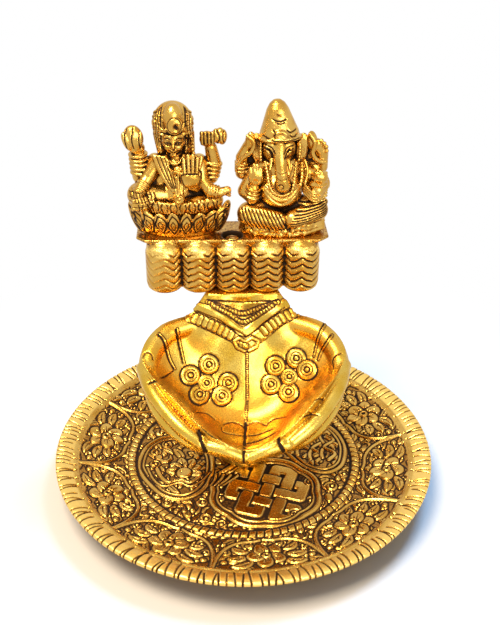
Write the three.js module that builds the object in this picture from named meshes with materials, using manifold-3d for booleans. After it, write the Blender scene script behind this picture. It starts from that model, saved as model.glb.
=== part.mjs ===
// A cast brass oil lamp: two cupped hands hold the oil, on a dished plate, and carry a lobed throne
// with the goddess Lakshmi on a lotus and the god Ganesha on a cushion.
// Millimetres, +Z up. The origin is the centre of the foot ring's resting face, and the front faces -Y.
import * as THREE from "three";
import { mergeVertices } from "three/addons/utils/BufferGeometryUtils.js";
import Module from "manifold-3d";

// Plate
const PLATE_RADIUS = 63.5;
const FOOT_HEIGHT = 3;
const FOOT_OUTER_RADIUS = 36.5;
const FOOT_WIDTH = 3;
const FLOOR_THICKNESS = 2;
const ROPE_RADIUS = 38.5;
const ROPE_WIDTH = 3;
const ROPE_HEIGHT = 0.9;
const FLANGE_RISE = 3.4;
const RIM_WIDTH = 7;
const RIM_RISE = 2.4;
const RIM_TEETH = 24;
const RIM_NOTCH_DEPTH = 0.35;

// Ornament that stands up from the plate
const RELIEF_HEIGHT = 0.45;
const RELIEF_ROOT = 0.5;
const PATCH_TAPER = 0.85;
const FRAME_WIDTH = 1.5;
const ARCH_COUNT = 10;
const ARCH_TURN = THREE.MathUtils.degToRad(-84);
const ARCH_FLOWER_RADIUS = 5.2;
const ARCH_FLOWER_OUT = 9;
const BACK_FLOWER_RADIUS = 9.2;
const LOTUS_TURN = -14;
const LOTUS_PETAL_STEP = 38;
const LOTUS_FOOT = 3.4;
const KNOT_CENTRE = [7, -18.2];
const KNOT_TURN = -20;
const KNOT_PITCH = 5.6;
const KNOT_WIDTH = 3.9;

// Screws
const SCREW_CLEARANCE = 0.3;
const BOWL_SCREW_RADIUS = 2;
const BOWL_SCREW_DEPTH = 7;
const BOWL_SCREW_HEAD_RADIUS = 4;
const BOWL_SCREW_HEAD_HEIGHT = 1.7;
const WASHER_RADIUS = 5;
const WASHER_THICKNESS = 0.8;
const THRONE_SCREW_RADIUS = 1.5;
const THRONE_SCREW_DEPTH = 5;
const THRONE_SCREW_HEAD_RADIUS = 2.4;
const THRONE_SCREW_HEAD_HEIGHT = 1.5;
const THRONE_WASHER_RADIUS = 3;
const THRONE_WASHER_THICKNESS = 0.5;
const FIGURE_SCREW_RADIUS = 1.2;
const FIGURE_SCREW_DEPTH = 4;
const FIGURE_SCREW_HEAD_RADIUS = 2.3;
const FIGURE_SCREW_HEAD_HEIGHT = 1.4;

// Hands
const BOSS_RADIUS = 8.5;
const BOSS_WAIST = 8;
const BOSS_FLARE = 17;
const BOSS_HEIGHT = 18;
const BOSS_Y = 2;
const BOSS_CLEARANCE = 0.3;
const BOSS_SINK = 1;
const BOWL_Y = -3;
const HAND_RISE = 53;
const PALM_DROP = 1;
const PALM_THICKNESS = 4.4;
const HEEL_THICKNESS = 7;
const HEEL_DEPTH = [9, 18];
const HEEL_WIDTH = [12, 24];
const PALM_SMOOTHING = 2;
const CUFF_HEIGHT = 0.45;
const WRIST_HALF_WIDTH = 11.6;
const LEDGE_AHEAD = 6.5;
const LEDGE_BEHIND = 4.9;
const LEDGE_THICKNESS = 3;

// Throne
const LOBE_COUNT = 5;
const LOBE_PITCH = 11.4;
const LOBE_FULLNESS = 1.105;
const LOBE_SHOULDER = 5;
const LOBE_FOOT = 2.4;
const LOBE_SIDES = 16;
const THRONE_HEIGHT = 16;
const THRONE_CENTRE_X = -3.2;
const THRONE_FRONT_Y = 19.5;
const THRONE_BACK_Y = 38;
const SLAB_HEIGHT = 2.5;
const SLAB_EDGE = 1;
const SLAB_FLARE_HEIGHT = 2.4;
const SLAB_FLARE = 4.9;
const SLAB_SETBACK = 3.4;
const SLAB_OVERHANG = 3.4;
const SLAB_CORNER = 3;
const THRONE_SCREW_X = -3.4;
const THRONE_SCREW_Y = 26.5;

// Figures
const FIGURE_Y = 31.5;
const LAKSHMI_X = -21.6;
const GANESHA_X = 12.4;
const BALL_SIDES = 7;
const BALL_RINGS = 4;
const LIMB_SIDES = 6;
const TUBE_SIDES = 6;
const HOLE_SIDES = 10;

// Levels that follow from the sizes above
const FLOOR_TOP = FOOT_HEIGHT + FLOOR_THICKNESS;
const FLANGE_OUTER_RADIUS = PLATE_RADIUS - RIM_WIDTH;
const ROPE_OUTER_RADIUS = ROPE_RADIUS + ROPE_WIDTH / 2;
const FLANGE_MIDDLE_RADIUS = (ROPE_OUTER_RADIUS + FLANGE_OUTER_RADIUS) / 2;
const LEDGE_TOP = FLOOR_TOP + HAND_RISE;
const LOBE_RADIUS = (LOBE_PITCH / 2) * LOBE_FULLNESS;
const THRONE_TOP = LEDGE_TOP + THRONE_HEIGHT;
const SLAB_TOP = THRONE_TOP + SLAB_HEIGHT;

const wasm = await Module();
wasm.setup();

// Solids and meshes

function solidOf(geometry) {
  const bare = geometry.clone();
  bare.deleteAttribute("normal");
  bare.deleteAttribute("uv");
  const merged = mergeVertices(bare, 1e-4);
  const corners = [];
  for (let i = 0; i < merged.index.count; i += 3) {
    const [a, b, c] = [0, 1, 2].map((k) => merged.index.getX(i + k));
    if (a !== b && b !== c && a !== c) corners.push(a, b, c);
  }
  const make = (indices) =>
    new wasm.Manifold(
      new wasm.Mesh({
        numProp: 3,
        vertProperties: Float32Array.from(merged.attributes.position.array),
        triVerts: Uint32Array.from(indices),
      }),
    );
  const made = make(corners);
  if (made.volume() > 0) return made;
  return make(corners.map((_, i) => corners[i - (i % 3) + [0, 2, 1][i % 3]]));
}

function geometryOf(solid) {
  const { numProp, vertProperties, triVerts } = solid.getMesh();
  const positions = new Float32Array((vertProperties.length / numProp) * 3);
  for (let i = 0; i < positions.length / 3; i++) {
    positions.set(vertProperties.subarray(i * numProp, i * numProp + 3), i * 3);
  }
  const geometry = new THREE.BufferGeometry();
  geometry.setAttribute("position", new THREE.BufferAttribute(positions, 3));
  geometry.setIndex(new THREE.BufferAttribute(triVerts, 1));
  geometry.computeVertexNormals();
  return geometry;
}

function join(solids) {
  return solids.reduce((whole, piece) => whole.add(piece));
}

function indexed(positions, indices) {
  const geometry = new THREE.BufferGeometry();
  geometry.setAttribute("position", new THREE.Float32BufferAttribute(positions.flat(), 3));
  geometry.setIndex(indices);
  return geometry;
}

// A profile of [radius, height] pairs turned about the Z axis.
function turned(profile, sides) {
  const points = profile.map(([r, z]) => new THREE.Vector2(r, z));
  return new THREE.LatheGeometry(points, sides).rotateX(Math.PI / 2);
}

function rod(radius, bottom, top, x = 0, y = 0, sides = HOLE_SIDES) {
  const profile = [[0, bottom], [radius, bottom], [radius, top], [0, top]];
  return solidOf(turned(profile, sides).translate(x, y, 0));
}

function ball(centre, radii, turn = [0, 0, 0]) {
  const geometry = new THREE.SphereGeometry(1, BALL_SIDES, BALL_RINGS)
    .rotateX(Math.PI / 2)
    .scale(...radii)
    .rotateX(turn[0])
    .rotateY(turn[1])
    .rotateZ(turn[2])
    .translate(...centre);
  return solidOf(geometry);
}

// A limb with pointed ends that tapers from one radius to the other.
function limb(from, to, fromRadius, toRadius = fromRadius, sides = LIMB_SIDES) {
  const start = new THREE.Vector3(...from);
  const along = new THREE.Vector3(...to).sub(start);
  const length = along.length();
  const profile = [[0, -fromRadius], [fromRadius, 0], [toRadius, length], [0, length + toRadius]];
  const swing = new THREE.Quaternion().setFromUnitVectors(new THREE.Vector3(0, 0, 1), along.normalize());
  const geometry = turned(profile, sides).applyQuaternion(swing).translate(...from);
  return solidOf(geometry);
}

// A chain of limbs through points of [x, y, z, radius].
function chain(points, sides = LIMB_SIDES) {
  const links = points.slice(1).map((point, i) => {
    const before = points[i];
    return limb(before.slice(0, 3), point.slice(0, 3), before[3], point[3], sides);
  });
  return join(links);
}

function middleOf(points) {
  return [0, 1, 2].map((k) => points.reduce((sum, point) => sum + point[k], 0) / points.length);
}

// A solid through rings of points: closed over at both ends or, when looped, joined end to end.
function lofted(rings, looped = false, tips = [middleOf(rings[0]), middleOf(rings.at(-1))]) {
  const count = rings[0].length;
  const positions = rings.flat();
  const indices = [];
  for (let row = 0; row < (looped ? rings.length : rings.length - 1); row++) {
    const [here, there] = [row * count, ((row + 1) % rings.length) * count];
    for (let i = 0; i < count; i++) {
      const next = (i + 1) % count;
      indices.push(here + i, here + next, there + next, here + i, there + next, there + i);
    }
  }
  if (!looped) {
    const [first, last] = [positions.length, positions.length + 1];
    const top = (rings.length - 1) * count;
    positions.push(...tips);
    for (let i = 0; i < count; i++) {
      const next = (i + 1) % count;
      indices.push(first, next, i, last, top + i, top + next);
    }
  }
  return solidOf(indexed(positions, indices));
}

// One round-ended tube through points of [x, y, z, radius], for gentle bends.
function tube(points, sides = TUBE_SIDES) {
  const last = points.length - 1;
  const centres = points.map(([x, y, z]) => new THREE.Vector3(x, y, z));
  const ways = centres.map((_, i) => {
    return centres[Math.min(i + 1, last)].clone().sub(centres[Math.max(i - 1, 0)]).normalize();
  });
  const ring = (i, shift, share) => {
    const across = new THREE.Vector3(0, 0, 1).cross(ways[i]).normalize();
    const lift = ways[i].clone().cross(across);
    const radius = points[i][3];
    return Array.from({ length: sides }, (_, k) => {
      const angle = (2 * Math.PI * k) / sides;
      const place = centres[i].clone().addScaledVector(ways[i], shift * radius);
      place.addScaledVector(across, share * radius * Math.cos(angle));
      return place.addScaledVector(lift, share * radius * Math.sin(angle)).toArray();
    });
  };
  const tip = (i, sign) => centres[i].clone().addScaledVector(ways[i], sign * points[i][3]).toArray();
  const rings = [ring(0, -0.7, 0.7), ...points.map((_, i) => ring(i, 0, 1)), ring(last, 0.7, 0.7)];
  return lofted(rings, false, [tip(0, -1), tip(last, 1)]);
}

function extruded(outline, bottom, top) {
  const shape = new THREE.Shape(outline.map(([x, y]) => new THREE.Vector2(x, y)));
  const geometry = new THREE.ExtrudeGeometry(shape, { depth: top - bottom, bevelEnabled: false });
  return solidOf(geometry.translate(0, 0, bottom));
}

// Plate: a turned dish whose rim is notched like a coin's edge, with raised ornament on its upper side

function plateLevel(x, y) {
  const share = (Math.hypot(x, y) - ROPE_OUTER_RADIUS) / (FLANGE_OUTER_RADIUS - ROPE_OUTER_RADIUS);
  return FLOOR_TOP + FLANGE_RISE * Math.max(0, share) ** 1.15;
}

// A raised line on the plate through points of [x, y].
function ridge(points, width, looped = false) {
  const last = points.length - 1;
  const rings = points.map(([x, y], i) => {
    const [x0, y0] = points[looped ? (i + last) % (last + 1) : Math.max(i - 1, 0)];
    const [x1, y1] = points[looped ? (i + 1) % (last + 1) : Math.min(i + 1, last)];
    const length = Math.hypot(x1 - x0, y1 - y0);
    const section = [[-1, -RELIEF_ROOT], [-0.6, RELIEF_HEIGHT], [0.6, RELIEF_HEIGHT], [1, -RELIEF_ROOT]];
    return section.map(([across, rise]) => {
      const shift = (across * width) / 2 / length;
      return [x - (y1 - y0) * shift, y + (x1 - x0) * shift, plateLevel(x, y) + rise];
    });
  });
  return lofted(rings, looped);
}

// A raised patch on the plate over an outline of [x, y].
function patch(outline) {
  const middle = middleOf(outline.map(([x, y]) => [x, y, 0]));
  const ring = (share, rise) =>
    outline.map(([x, y]) => [
      middle[0] + (x - middle[0]) * share,
      middle[1] + (y - middle[1]) * share,
      plateLevel(x, y) + rise,
    ]);
  return lofted([ring(1, -RELIEF_ROOT), ring(PATCH_TAPER, RELIEF_HEIGHT)]);
}

// A round outline of [x, y] that draws in between its lobes.
function lobed(centre, radii, lobes, depth, turn) {
  return Array.from({ length: lobes * 2 }, (_, i) => {
    const angle = THREE.MathUtils.degToRad(turn) + (i * Math.PI) / lobes;
    const swell = i % 2 ? 1 - depth : 1;
    return [centre[0] + radii[0] * swell * Math.cos(angle), centre[1] + radii[1] * swell * Math.sin(angle)];
  });
}

const LEFT_MEDALLION = [
  [-36, -3.4], [-31, -14.8], [-21.8, -21.4], [-12.6, -14.2], [-10.9, -6.5], [-11.6, 1.5], [-21.6, 11],
  [-28.6, 10.4], [-34, 5.2],
];
const RIGHT_MEDALLION = [
  [34.8, -2.2], [27, -9.8], [20.8, -7], [12.8, 8], [14.5, 15], [20, 19.6], [28, 18.6], [33.6, 12.4],
  [35.8, 5],
];
const BACK_CENTRE = [-6.6, 22.2];
const BACK_MEDALLION = lobed(BACK_CENTRE, [15.4, 13.2], 8, 0.06, 107);
const FRONT_MEDALLION = lobed([6.4, -18.6], [18.2, 16.6], 8, 0.055, -70);

// Wavy lines in the right medallion: where each starts, and its points from there.
const WAVE_STARTS = [[16.6, 1], [22.9, -2.6], [29.2, -3.2]];
const WAVE = [[0, 0], [1.4, 3.4], [0.4, 7], [1.8, 10.6], [0.6, 13.4]];

const LOTUS_CENTRE = [-20.4, -7.8];
const LOTUS_PETALS = [6, 6, 7, 7, 6, 6];

// Half of an arch of the border, as [distance along the border, distance out from the rope].
const ARCH = [[0, 0.8], [7.6, 1.9], [11.4, 3.8], [13.8, 7.2]];
const POST = [7, 15.8];

function lotus() {
  const petals = LOTUS_PETALS.map((length, i) => {
    const angle = THREE.MathUtils.degToRad(LOTUS_TURN + LOTUS_PETAL_STEP * i);
    return [LOTUS_CENTRE[0] + length * Math.cos(angle), LOTUS_CENTRE[1] + length * Math.sin(angle)];
  });
  return patch([...petals, [LOTUS_CENTRE[0], LOTUS_CENTRE[1] - LOTUS_FOOT]]);
}

// The knot's long runs, three each way.
function endlessKnot() {
  const reach = KNOT_PITCH * 2 + KNOT_WIDTH / 2;
  const bars = [-1, 0, 1].flatMap((line) => {
    const [low, high] = [line * KNOT_PITCH - KNOT_WIDTH / 2, line * KNOT_PITCH + KNOT_WIDTH / 2];
    return [
      extruded([[-reach, low], [reach, low], [reach, high], [-reach, high]], -RELIEF_ROOT, RELIEF_HEIGHT),
      extruded([[low, -reach], [high, -reach], [high, reach], [low, reach]], -RELIEF_ROOT, RELIEF_HEIGHT),
    ];
  });
  return join(bars).rotate([0, 0, KNOT_TURN]).translate([...KNOT_CENTRE, FLOOR_TOP]);
}

function onFlange(arch, along, out) {
  const angle = ARCH_TURN + (arch * 2 * Math.PI) / ARCH_COUNT + along / FLANGE_MIDDLE_RADIUS;
  return [(ROPE_OUTER_RADIUS + out) * Math.cos(angle), (ROPE_OUTER_RADIUS + out) * Math.sin(angle)];
}

// An arch's line, the post where it meets the next arch, and its flower.
function archOrnament(arch) {
  const place = ([along, out]) => onFlange(arch, along, out);
  const meeting = (Math.PI * FLANGE_MIDDLE_RADIUS) / ARCH_COUNT;
  const line = [...ARCH.slice(1).reverse().map(mirror), ...ARCH];
  const post = POST.map((out) => [meeting, out]);
  const flower = lobed([0, ARCH_FLOWER_OUT], [ARCH_FLOWER_RADIUS, ARCH_FLOWER_RADIUS], 3, 0, 0);
  return [ridge(line.map(place), FRAME_WIDTH), ridge(post.map(place), FRAME_WIDTH), patch(flower.map(place))];
}

function plateRelief() {
  const pieces = [
    ridge(LEFT_MEDALLION, FRAME_WIDTH, true),
    ridge(RIGHT_MEDALLION, FRAME_WIDTH, true),
    ridge(BACK_MEDALLION, FRAME_WIDTH, true),
    ridge(FRONT_MEDALLION, FRAME_WIDTH, true),
    patch(lobed(BACK_CENTRE, [BACK_FLOWER_RADIUS, BACK_FLOWER_RADIUS], 4, 0, 107)),
    lotus(),
    endlessKnot(),
  ];
  for (const [x, y] of WAVE_STARTS) {
    pieces.push(ridge(WAVE.map(([dx, dy]) => [x + dx, y + dy]), FRAME_WIDTH));
  }
  for (let arch = 0; arch < ARCH_COUNT; arch++) pieces.push(...archOrnament(arch));
  const seat = rod(BOSS_RADIUS + BOSS_CLEARANCE, FLOOR_TOP, FLOOR_TOP + 1, 0, BOSS_Y, LOBE_SIDES);
  return join(pieces).subtract(seat);
}

function plate() {
  const ropeInner = ROPE_RADIUS - ROPE_WIDTH / 2;
  const footInner = FOOT_OUTER_RADIUS - FOOT_WIDTH;
  const hole = BOWL_SCREW_RADIUS + SCREW_CLEARANCE;
  const flangeTop = FLOOR_TOP + FLANGE_RISE;
  const rimTop = flangeTop + RIM_RISE;
  const profile = [
    [hole, FLOOR_TOP],
    [ropeInner, FLOOR_TOP],
    [ROPE_RADIUS, FLOOR_TOP + ROPE_HEIGHT],
    [ROPE_OUTER_RADIUS, FLOOR_TOP],
    [FLANGE_MIDDLE_RADIUS, plateLevel(FLANGE_MIDDLE_RADIUS, 0)],
    [FLANGE_OUTER_RADIUS, flangeTop],
    [PLATE_RADIUS - RIM_WIDTH * 0.4, rimTop - RIM_RISE * 0.1],
    [PLATE_RADIUS - RIM_WIDTH * 0.12, rimTop],
    [PLATE_RADIUS, rimTop - FLOOR_THICKNESS * 0.4],
    [PLATE_RADIUS - RIM_WIDTH * 0.1, rimTop - FLOOR_THICKNESS],
    [FLANGE_OUTER_RADIUS, flangeTop - FLOOR_THICKNESS],
    [ROPE_OUTER_RADIUS, FOOT_HEIGHT],
    [FOOT_OUTER_RADIUS, FOOT_HEIGHT],
    [FOOT_OUTER_RADIUS, 0],
    [footInner, 0],
    [footInner, FOOT_HEIGHT],
    [hole, FOOT_HEIGHT],
    [hole, FLOOR_TOP],
  ];
  const geometry = turned(profile, RIM_TEETH * 2);
  const position = geometry.attributes.position;
  for (let i = 0; i < position.count; i++) {
    const [x, y] = [position.getX(i), position.getY(i)];
    const radius = Math.hypot(x, y);
    const tooth = Math.round((Math.atan2(y, x) / Math.PI) * RIM_TEETH);
    if (radius > PLATE_RADIUS - RIM_WIDTH * 0.2 && Math.abs(tooth) % 2 === 1) {
      const share = (radius - RIM_NOTCH_DEPTH) / radius;
      position.setXY(i, x * share, y * share);
    }
  }
  return solidOf(geometry).add(plateRelief());
}

// Hands: palms shaped by one smooth sheet and thickened downwards, with tubes for fingers

// The palms' form along the join of the hands and to the right of it: [x, y, height above the floor].
const PALM = [
  [0, -24.5, 22.2], [0, -18, 17.8], [0, -10, 15.3], [0, -3, 15], [0, 2.5, 17.5], [0, 7, 25.5],
  [0, 11.7, 34.9], [0, 16.5, 43.5], [0, 21.2, 52], [5.3, -23.1, 23.3], [9.9, -20.8, 25],
  [13.6, -17.3, 26.7], [17, -13.2, 28.7], [21.5, -8.2, 31.1], [26, -3.5, 33.3], [29.5, 1, 35.5],
  [31, 6, 38], [30, 11, 40.5], [26.5, 15, 42.5], [22, 17.5, 44], [17, 19, 45.5], [12, 20.5, 51],
  [8, -14, 17.5], [8, -4, 16.3], [15, -5, 21], [15, 2, 21.5], [22, 0, 27.5], [15, 7, 26], [22, 8, 32],
  [8, 8, 26], [8, 14, 38], [16, 13, 36], [24, 12, 38.5],
];

// The outline of the palms from above, from the fingertips round to the wrist: [x, y].
const EDGE = [
  [0, -26.5], [5, -26.4], [11, -24.6], [17, -20.6], [22.5, -15.2], [27.5, -9], [31, -3], [33.2, 2],
  [33.2, 7], [31.2, 11.6], [27.2, 15.2], [21.6, 17.8], [15.5, 19.2], [11.4, 21.4], [10.2, 26],
  [9.6, 30.6], [0, 31.2],
];

// The right hand's fingers, from the knuckle to the tip: [x, y, height above the floor, radius].
const FINGERS = [
  [
    [33, 3, 34.6, 2.5], [30.2, -6.4, 33.4, 2.6], [25.4, -14.2, 30.4, 2.5], [19.8, -20.2, 27.4, 2.4],
    [14.2, -23.8, 24.6, 2.1],
  ],
  [
    [31, 0, 30, 2.7], [28, -9.4, 27.4, 2.6], [22.6, -17.2, 24.8, 2.5], [16.4, -22.2, 23.4, 2.3],
    [11, -24.4, 23.6, 2.2], [6, -25.8, 22.9, 2.1], [1.4, -26.4, 20.8, 2],
  ],
  [
    [28.6, 1, 25.5, 2.9], [24, -7.4, 22.2, 2.8], [17.6, -14.4, 19.8, 2.7], [9.6, -19.4, 18.8, 2.5],
    [1.4, -20.8, 17.8, 2.3],
  ],
  [
    [24.6, 3, 21, 2.8], [19.4, -4.6, 17.6, 2.7], [13, -10.4, 15.2, 2.6], [7, -13.6, 14, 2.4],
    [1.4, -14.8, 13.4, 2.1],
  ],
];
const THUMB = [
  [17, 18.6, 42, 3.4], [25.6, 15, 40.6, 3.6], [30.2, 8.6, 38.2, 3.3], [31.6, 3, 35.6, 3.1],
  [30.8, -1.4, 33.8, 2.6],
];
const WRIST = [
  [14, 18.2, 39.4, 6.4], [9.4, 22.2, 45.6, 6], [5.8, 25.2, 51, 5.4],
];

// Raised cuffs over the right wrist, from its outside to the join of the hands: { points: [x, y], radius }.
const CUFFS = [
  { points: [[15.6, 19], [8.8, 17.3], [0.4, 14.6]], radius: 2.4 },
  { points: [[16.6, 18], [11.1, 16.7], [4.2, 14.5], [0.4, 13]], radius: 1.8 },
];

function mirror([x, ...rest]) {
  return [-x, ...rest];
}

// How much a point of the sheet bends the sheet at a distance from it.
function bend(dx, dy) {
  const square = dx * dx + dy * dy;
  return square > 0 ? square * Math.log(square) : 0;
}

// Weights of a smooth sheet through points of [x, y, z], by elimination.
function sheetWeights(points) {
  const rows = points.map(([x, y, z], i) => [
    ...points.map(([u, v], k) => bend(x - u, y - v) + (i === k ? PALM_SMOOTHING : 0)),
    1, x, y, z,
  ]);
  for (const part of [() => 1, ([x]) => x, ([, y]) => y]) rows.push([...points.map(part), 0, 0, 0, 0]);
  const size = rows.length;
  for (let column = 0; column < size; column++) {
    let best = column;
    for (let row = column + 1; row < size; row++) {
      if (Math.abs(rows[row][column]) > Math.abs(rows[best][column])) best = row;
    }
    [rows[column], rows[best]] = [rows[best], rows[column]];
    for (let row = 0; row < size; row++) {
      if (row === column) continue;
      const share = rows[row][column] / rows[column][column];
      for (let k = column; k <= size; k++) rows[row][k] -= share * rows[column][k];
    }
  }
  return rows.map((row, i) => row[size] / row[i]);
}

// Heights are stretched so that the palms end just below the ledge that carries the throne.
const stretch = (HAND_RISE - PALM_DROP) / Math.max(...PALM.map(([, , height]) => height));
const atHeight = ([x, y, height, ...rest]) => [x, y, FLOOR_TOP + height * stretch, ...rest];
const palmPoints = [...PALM, ...PALM.filter(([x]) => x > 0).map(mirror)].map(atHeight);
const palmWeights = sheetWeights(palmPoints);

function palmLevel(x, y) {
  const [level, alongX, alongY] = palmWeights.slice(-3);
  const bends = palmPoints.map(([u, v], i) => palmWeights[i] * bend(x - u, y - v));
  return bends.reduce((sum, each) => sum + each, level + alongX * x + alongY * y);
}

function palmSlope(x, y) {
  const step = 0.1;
  const slopeX = (palmLevel(x + step, y) - palmLevel(x - step, y)) / (2 * step);
  const slopeY = (palmLevel(x, y + step) - palmLevel(x, y - step)) / (2 * step);
  return new THREE.Vector3(-slopeX, -slopeY, 1);
}

// The palms' underside, thicker at the heels of the hands.
function underLevel(x, y) {
  const across = THREE.MathUtils.smoothstep(Math.abs(x), ...HEEL_WIDTH);
  const heel = THREE.MathUtils.smoothstep(y, ...HEEL_DEPTH) * (1 - across);
  return palmLevel(x, y) - (PALM_THICKNESS + HEEL_THICKNESS * heel) * palmSlope(x, y).length();
}

const SKIN_SHARES = [0.25, 0.5, 0.72, 0.88, 1];

// A solid inside the palms' outline between two levels, each a function of x and y.
function layer(lower, upper) {
  const edge = [...EDGE, ...EDGE.slice(1, -1).reverse().map(mirror)];
  const rings = (level, shares) =>
    shares.map((share) =>
      edge.map(([x, y]) => {
        const place = [x * share, BOWL_Y + (y - BOWL_Y) * share];
        return [...place, level(...place)];
      }),
    );
  const tips = [[0, BOWL_Y, lower(0, BOWL_Y)], [0, BOWL_Y, upper(0, BOWL_Y)]];
  return lofted([...rings(lower, SKIN_SHARES), ...rings(upper, [...SKIN_SHARES].reverse())], false, tips);
}

function boss() {
  const profile = [
    [0, FLOOR_TOP],
    [BOSS_RADIUS, FLOOR_TOP],
    [BOSS_WAIST, FLOOR_TOP + BOSS_HEIGHT / 6],
    [BOSS_WAIST + 1, FLOOR_TOP + BOSS_HEIGHT / 3],
    [BOSS_FLARE, FLOOR_TOP + BOSS_HEIGHT],
    [0, FLOOR_TOP + BOSS_HEIGHT],
  ];
  const hollow = layer((x, y) => palmLevel(x, y) - BOSS_SINK, () => LEDGE_TOP * 2);
  return solidOf(turned(profile, LOBE_SIDES).translate(0, BOSS_Y, 0)).subtract(hollow);
}

// A band laid on the palms, sunk so that only the cuff's height stands up.
function cuff({ points, radius }) {
  const centres = points.map(([x, y]) => {
    const normal = palmSlope(x, y).normalize();
    const centre = new THREE.Vector3(x, y, palmLevel(x, y)).addScaledVector(normal, CUFF_HEIGHT - radius);
    return [...centre.toArray(), radius];
  });
  return tube(centres);
}

function ledge() {
  const [front, back] = [THRONE_SCREW_Y - LEDGE_AHEAD, THRONE_SCREW_Y + LEDGE_BEHIND];
  const corners = [
    [-WRIST_HALF_WIDTH, front],
    [WRIST_HALF_WIDTH, front],
    [WRIST_HALF_WIDTH, back],
    [-WRIST_HALF_WIDTH, back],
  ];
  return extruded(corners, LEDGE_TOP - LEDGE_THICKNESS, LEDGE_TOP);
}

function handsBowl() {
  const limbs = [...FINGERS, THUMB, WRIST].map((points) => tube(points.map(atHeight)));
  const right = [...limbs, ...CUFFS.map(cuff)];
  const left = right.map((solid) => solid.mirror([1, 0, 0]));
  const reach = PLATE_RADIUS * 2;
  const above = solidOf(new THREE.BoxGeometry(reach, reach, reach).translate(0, 0, LEDGE_TOP + reach / 2));
  const bowlHole = rod(BOWL_SCREW_RADIUS + SCREW_CLEARANCE, 0, FLOOR_TOP + BOWL_SCREW_DEPTH + 1);
  const throneHole = rod(
    THRONE_SCREW_RADIUS + SCREW_CLEARANCE,
    LEDGE_TOP - THRONE_SCREW_DEPTH - 1,
    LEDGE_TOP + 1,
    THRONE_SCREW_X,
    THRONE_SCREW_Y,
  );
  return [above, bowlHole, throneHole].reduce(
    (body, cut) => body.subtract(cut),
    join([layer(underLevel, palmLevel), boss(), ledge(), ...right, ...left]),
  );
}

// Throne: five round lobes side by side under a wider slab

function lobe(x) {
  const profile = [
    [0, LEDGE_TOP],
    [LOBE_RADIUS * 0.825, LEDGE_TOP],
    [LOBE_RADIUS, LEDGE_TOP + LOBE_FOOT],
    [LOBE_RADIUS, SLAB_TOP - LOBE_SHOULDER],
    [LOBE_RADIUS * 0.905, SLAB_TOP - LOBE_SHOULDER * 0.6],
    [LOBE_RADIUS * 0.683, SLAB_TOP - LOBE_SHOULDER * 0.24],
    [0, SLAB_TOP - LOBE_SHOULDER * 0.1],
  ];
  return solidOf(turned(profile, LOBE_SIDES).translate(x, THRONE_FRONT_Y + LOBE_RADIUS, 0));
}

// The slab's outline at a level, drawn in below the top.
function slabRing(level, inward) {
  const reach = (LOBE_COUNT * LOBE_PITCH) / 2 + SLAB_OVERHANG - inward;
  const front = THRONE_FRONT_Y + SLAB_SETBACK + inward / 5;
  const [left, right] = [THRONE_CENTRE_X - reach, THRONE_CENTRE_X + reach];
  return [
    [left, front + SLAB_CORNER, level],
    [left + SLAB_CORNER, front, level],
    [right - SLAB_CORNER, front, level],
    [right, front + SLAB_CORNER, level],
    [right, THRONE_BACK_Y, level],
    [left, THRONE_BACK_Y, level],
  ];
}

function throne() {
  const half = (LOBE_COUNT * LOBE_PITCH) / 2;
  const [left, right] = [THRONE_CENTRE_X - half, THRONE_CENTRE_X + half];
  const middle = THRONE_FRONT_Y + LOBE_RADIUS;
  const core = extruded(
    [[left, middle], [right, middle], [right, THRONE_BACK_Y], [left, THRONE_BACK_Y]],
    LEDGE_TOP,
    THRONE_TOP,
  );
  const slab = lofted([
    slabRing(SLAB_TOP - SLAB_EDGE - SLAB_FLARE_HEIGHT, SLAB_FLARE),
    slabRing(SLAB_TOP - SLAB_EDGE, 0),
    slabRing(SLAB_TOP, 0),
  ]);
  const lobes = Array.from({ length: LOBE_COUNT }, (_, i) => lobe(left + (i + 0.5) * LOBE_PITCH));
  let body = join([core, slab, ...lobes]);
  const below = LEDGE_TOP - 1;
  const recess = THRONE_WASHER_RADIUS + SCREW_CLEARANCE;
  const hole = THRONE_SCREW_RADIUS + SCREW_CLEARANCE;
  body = body.subtract(rod(recess, THRONE_TOP, SLAB_TOP + 1, THRONE_SCREW_X, THRONE_SCREW_Y));
  body = body.subtract(rod(hole, below, THRONE_TOP + 1, THRONE_SCREW_X, THRONE_SCREW_Y));
  const shank = FIGURE_SCREW_RADIUS + SCREW_CLEARANCE;
  const head = FIGURE_SCREW_HEAD_RADIUS + SCREW_CLEARANCE;
  for (const x of [LAKSHMI_X, GANESHA_X]) {
    body = body.subtract(rod(shank, below, SLAB_TOP + 1, x, FIGURE_Y));
    body = body.subtract(rod(head, below, LEDGE_TOP + THRONE_HEIGHT / 2, x, FIGURE_Y));
  }
  return body;
}

// Figures, each drawn about its own seat: x to the right, -y to the front, z up from the slab

function lotusSeat() {
  const profile = [[0, 0], [9.5, 0], [10.5, 1.2], [12.5, 3.4], [15.6, 7.6], [15.8, 8.6], [13, 9.4], [0, 9.4]];
  const seat = solidOf(turned(profile, 20).scale(1, 0.5, 1));
  const petals = [];
  for (let i = 0; i < 9; i++) {
    const angle = Math.PI * (1.04 + (0.92 * i) / 8);
    const [x, y] = [Math.cos(angle), Math.sin(angle)];
    petals.push(limb([10.4 * x, 5.4 * y, 1.9], [14.4 * x, 7.4 * y, 6.6], 1.7, 1.5, 6));
  }
  return [seat, ...petals];
}

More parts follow.
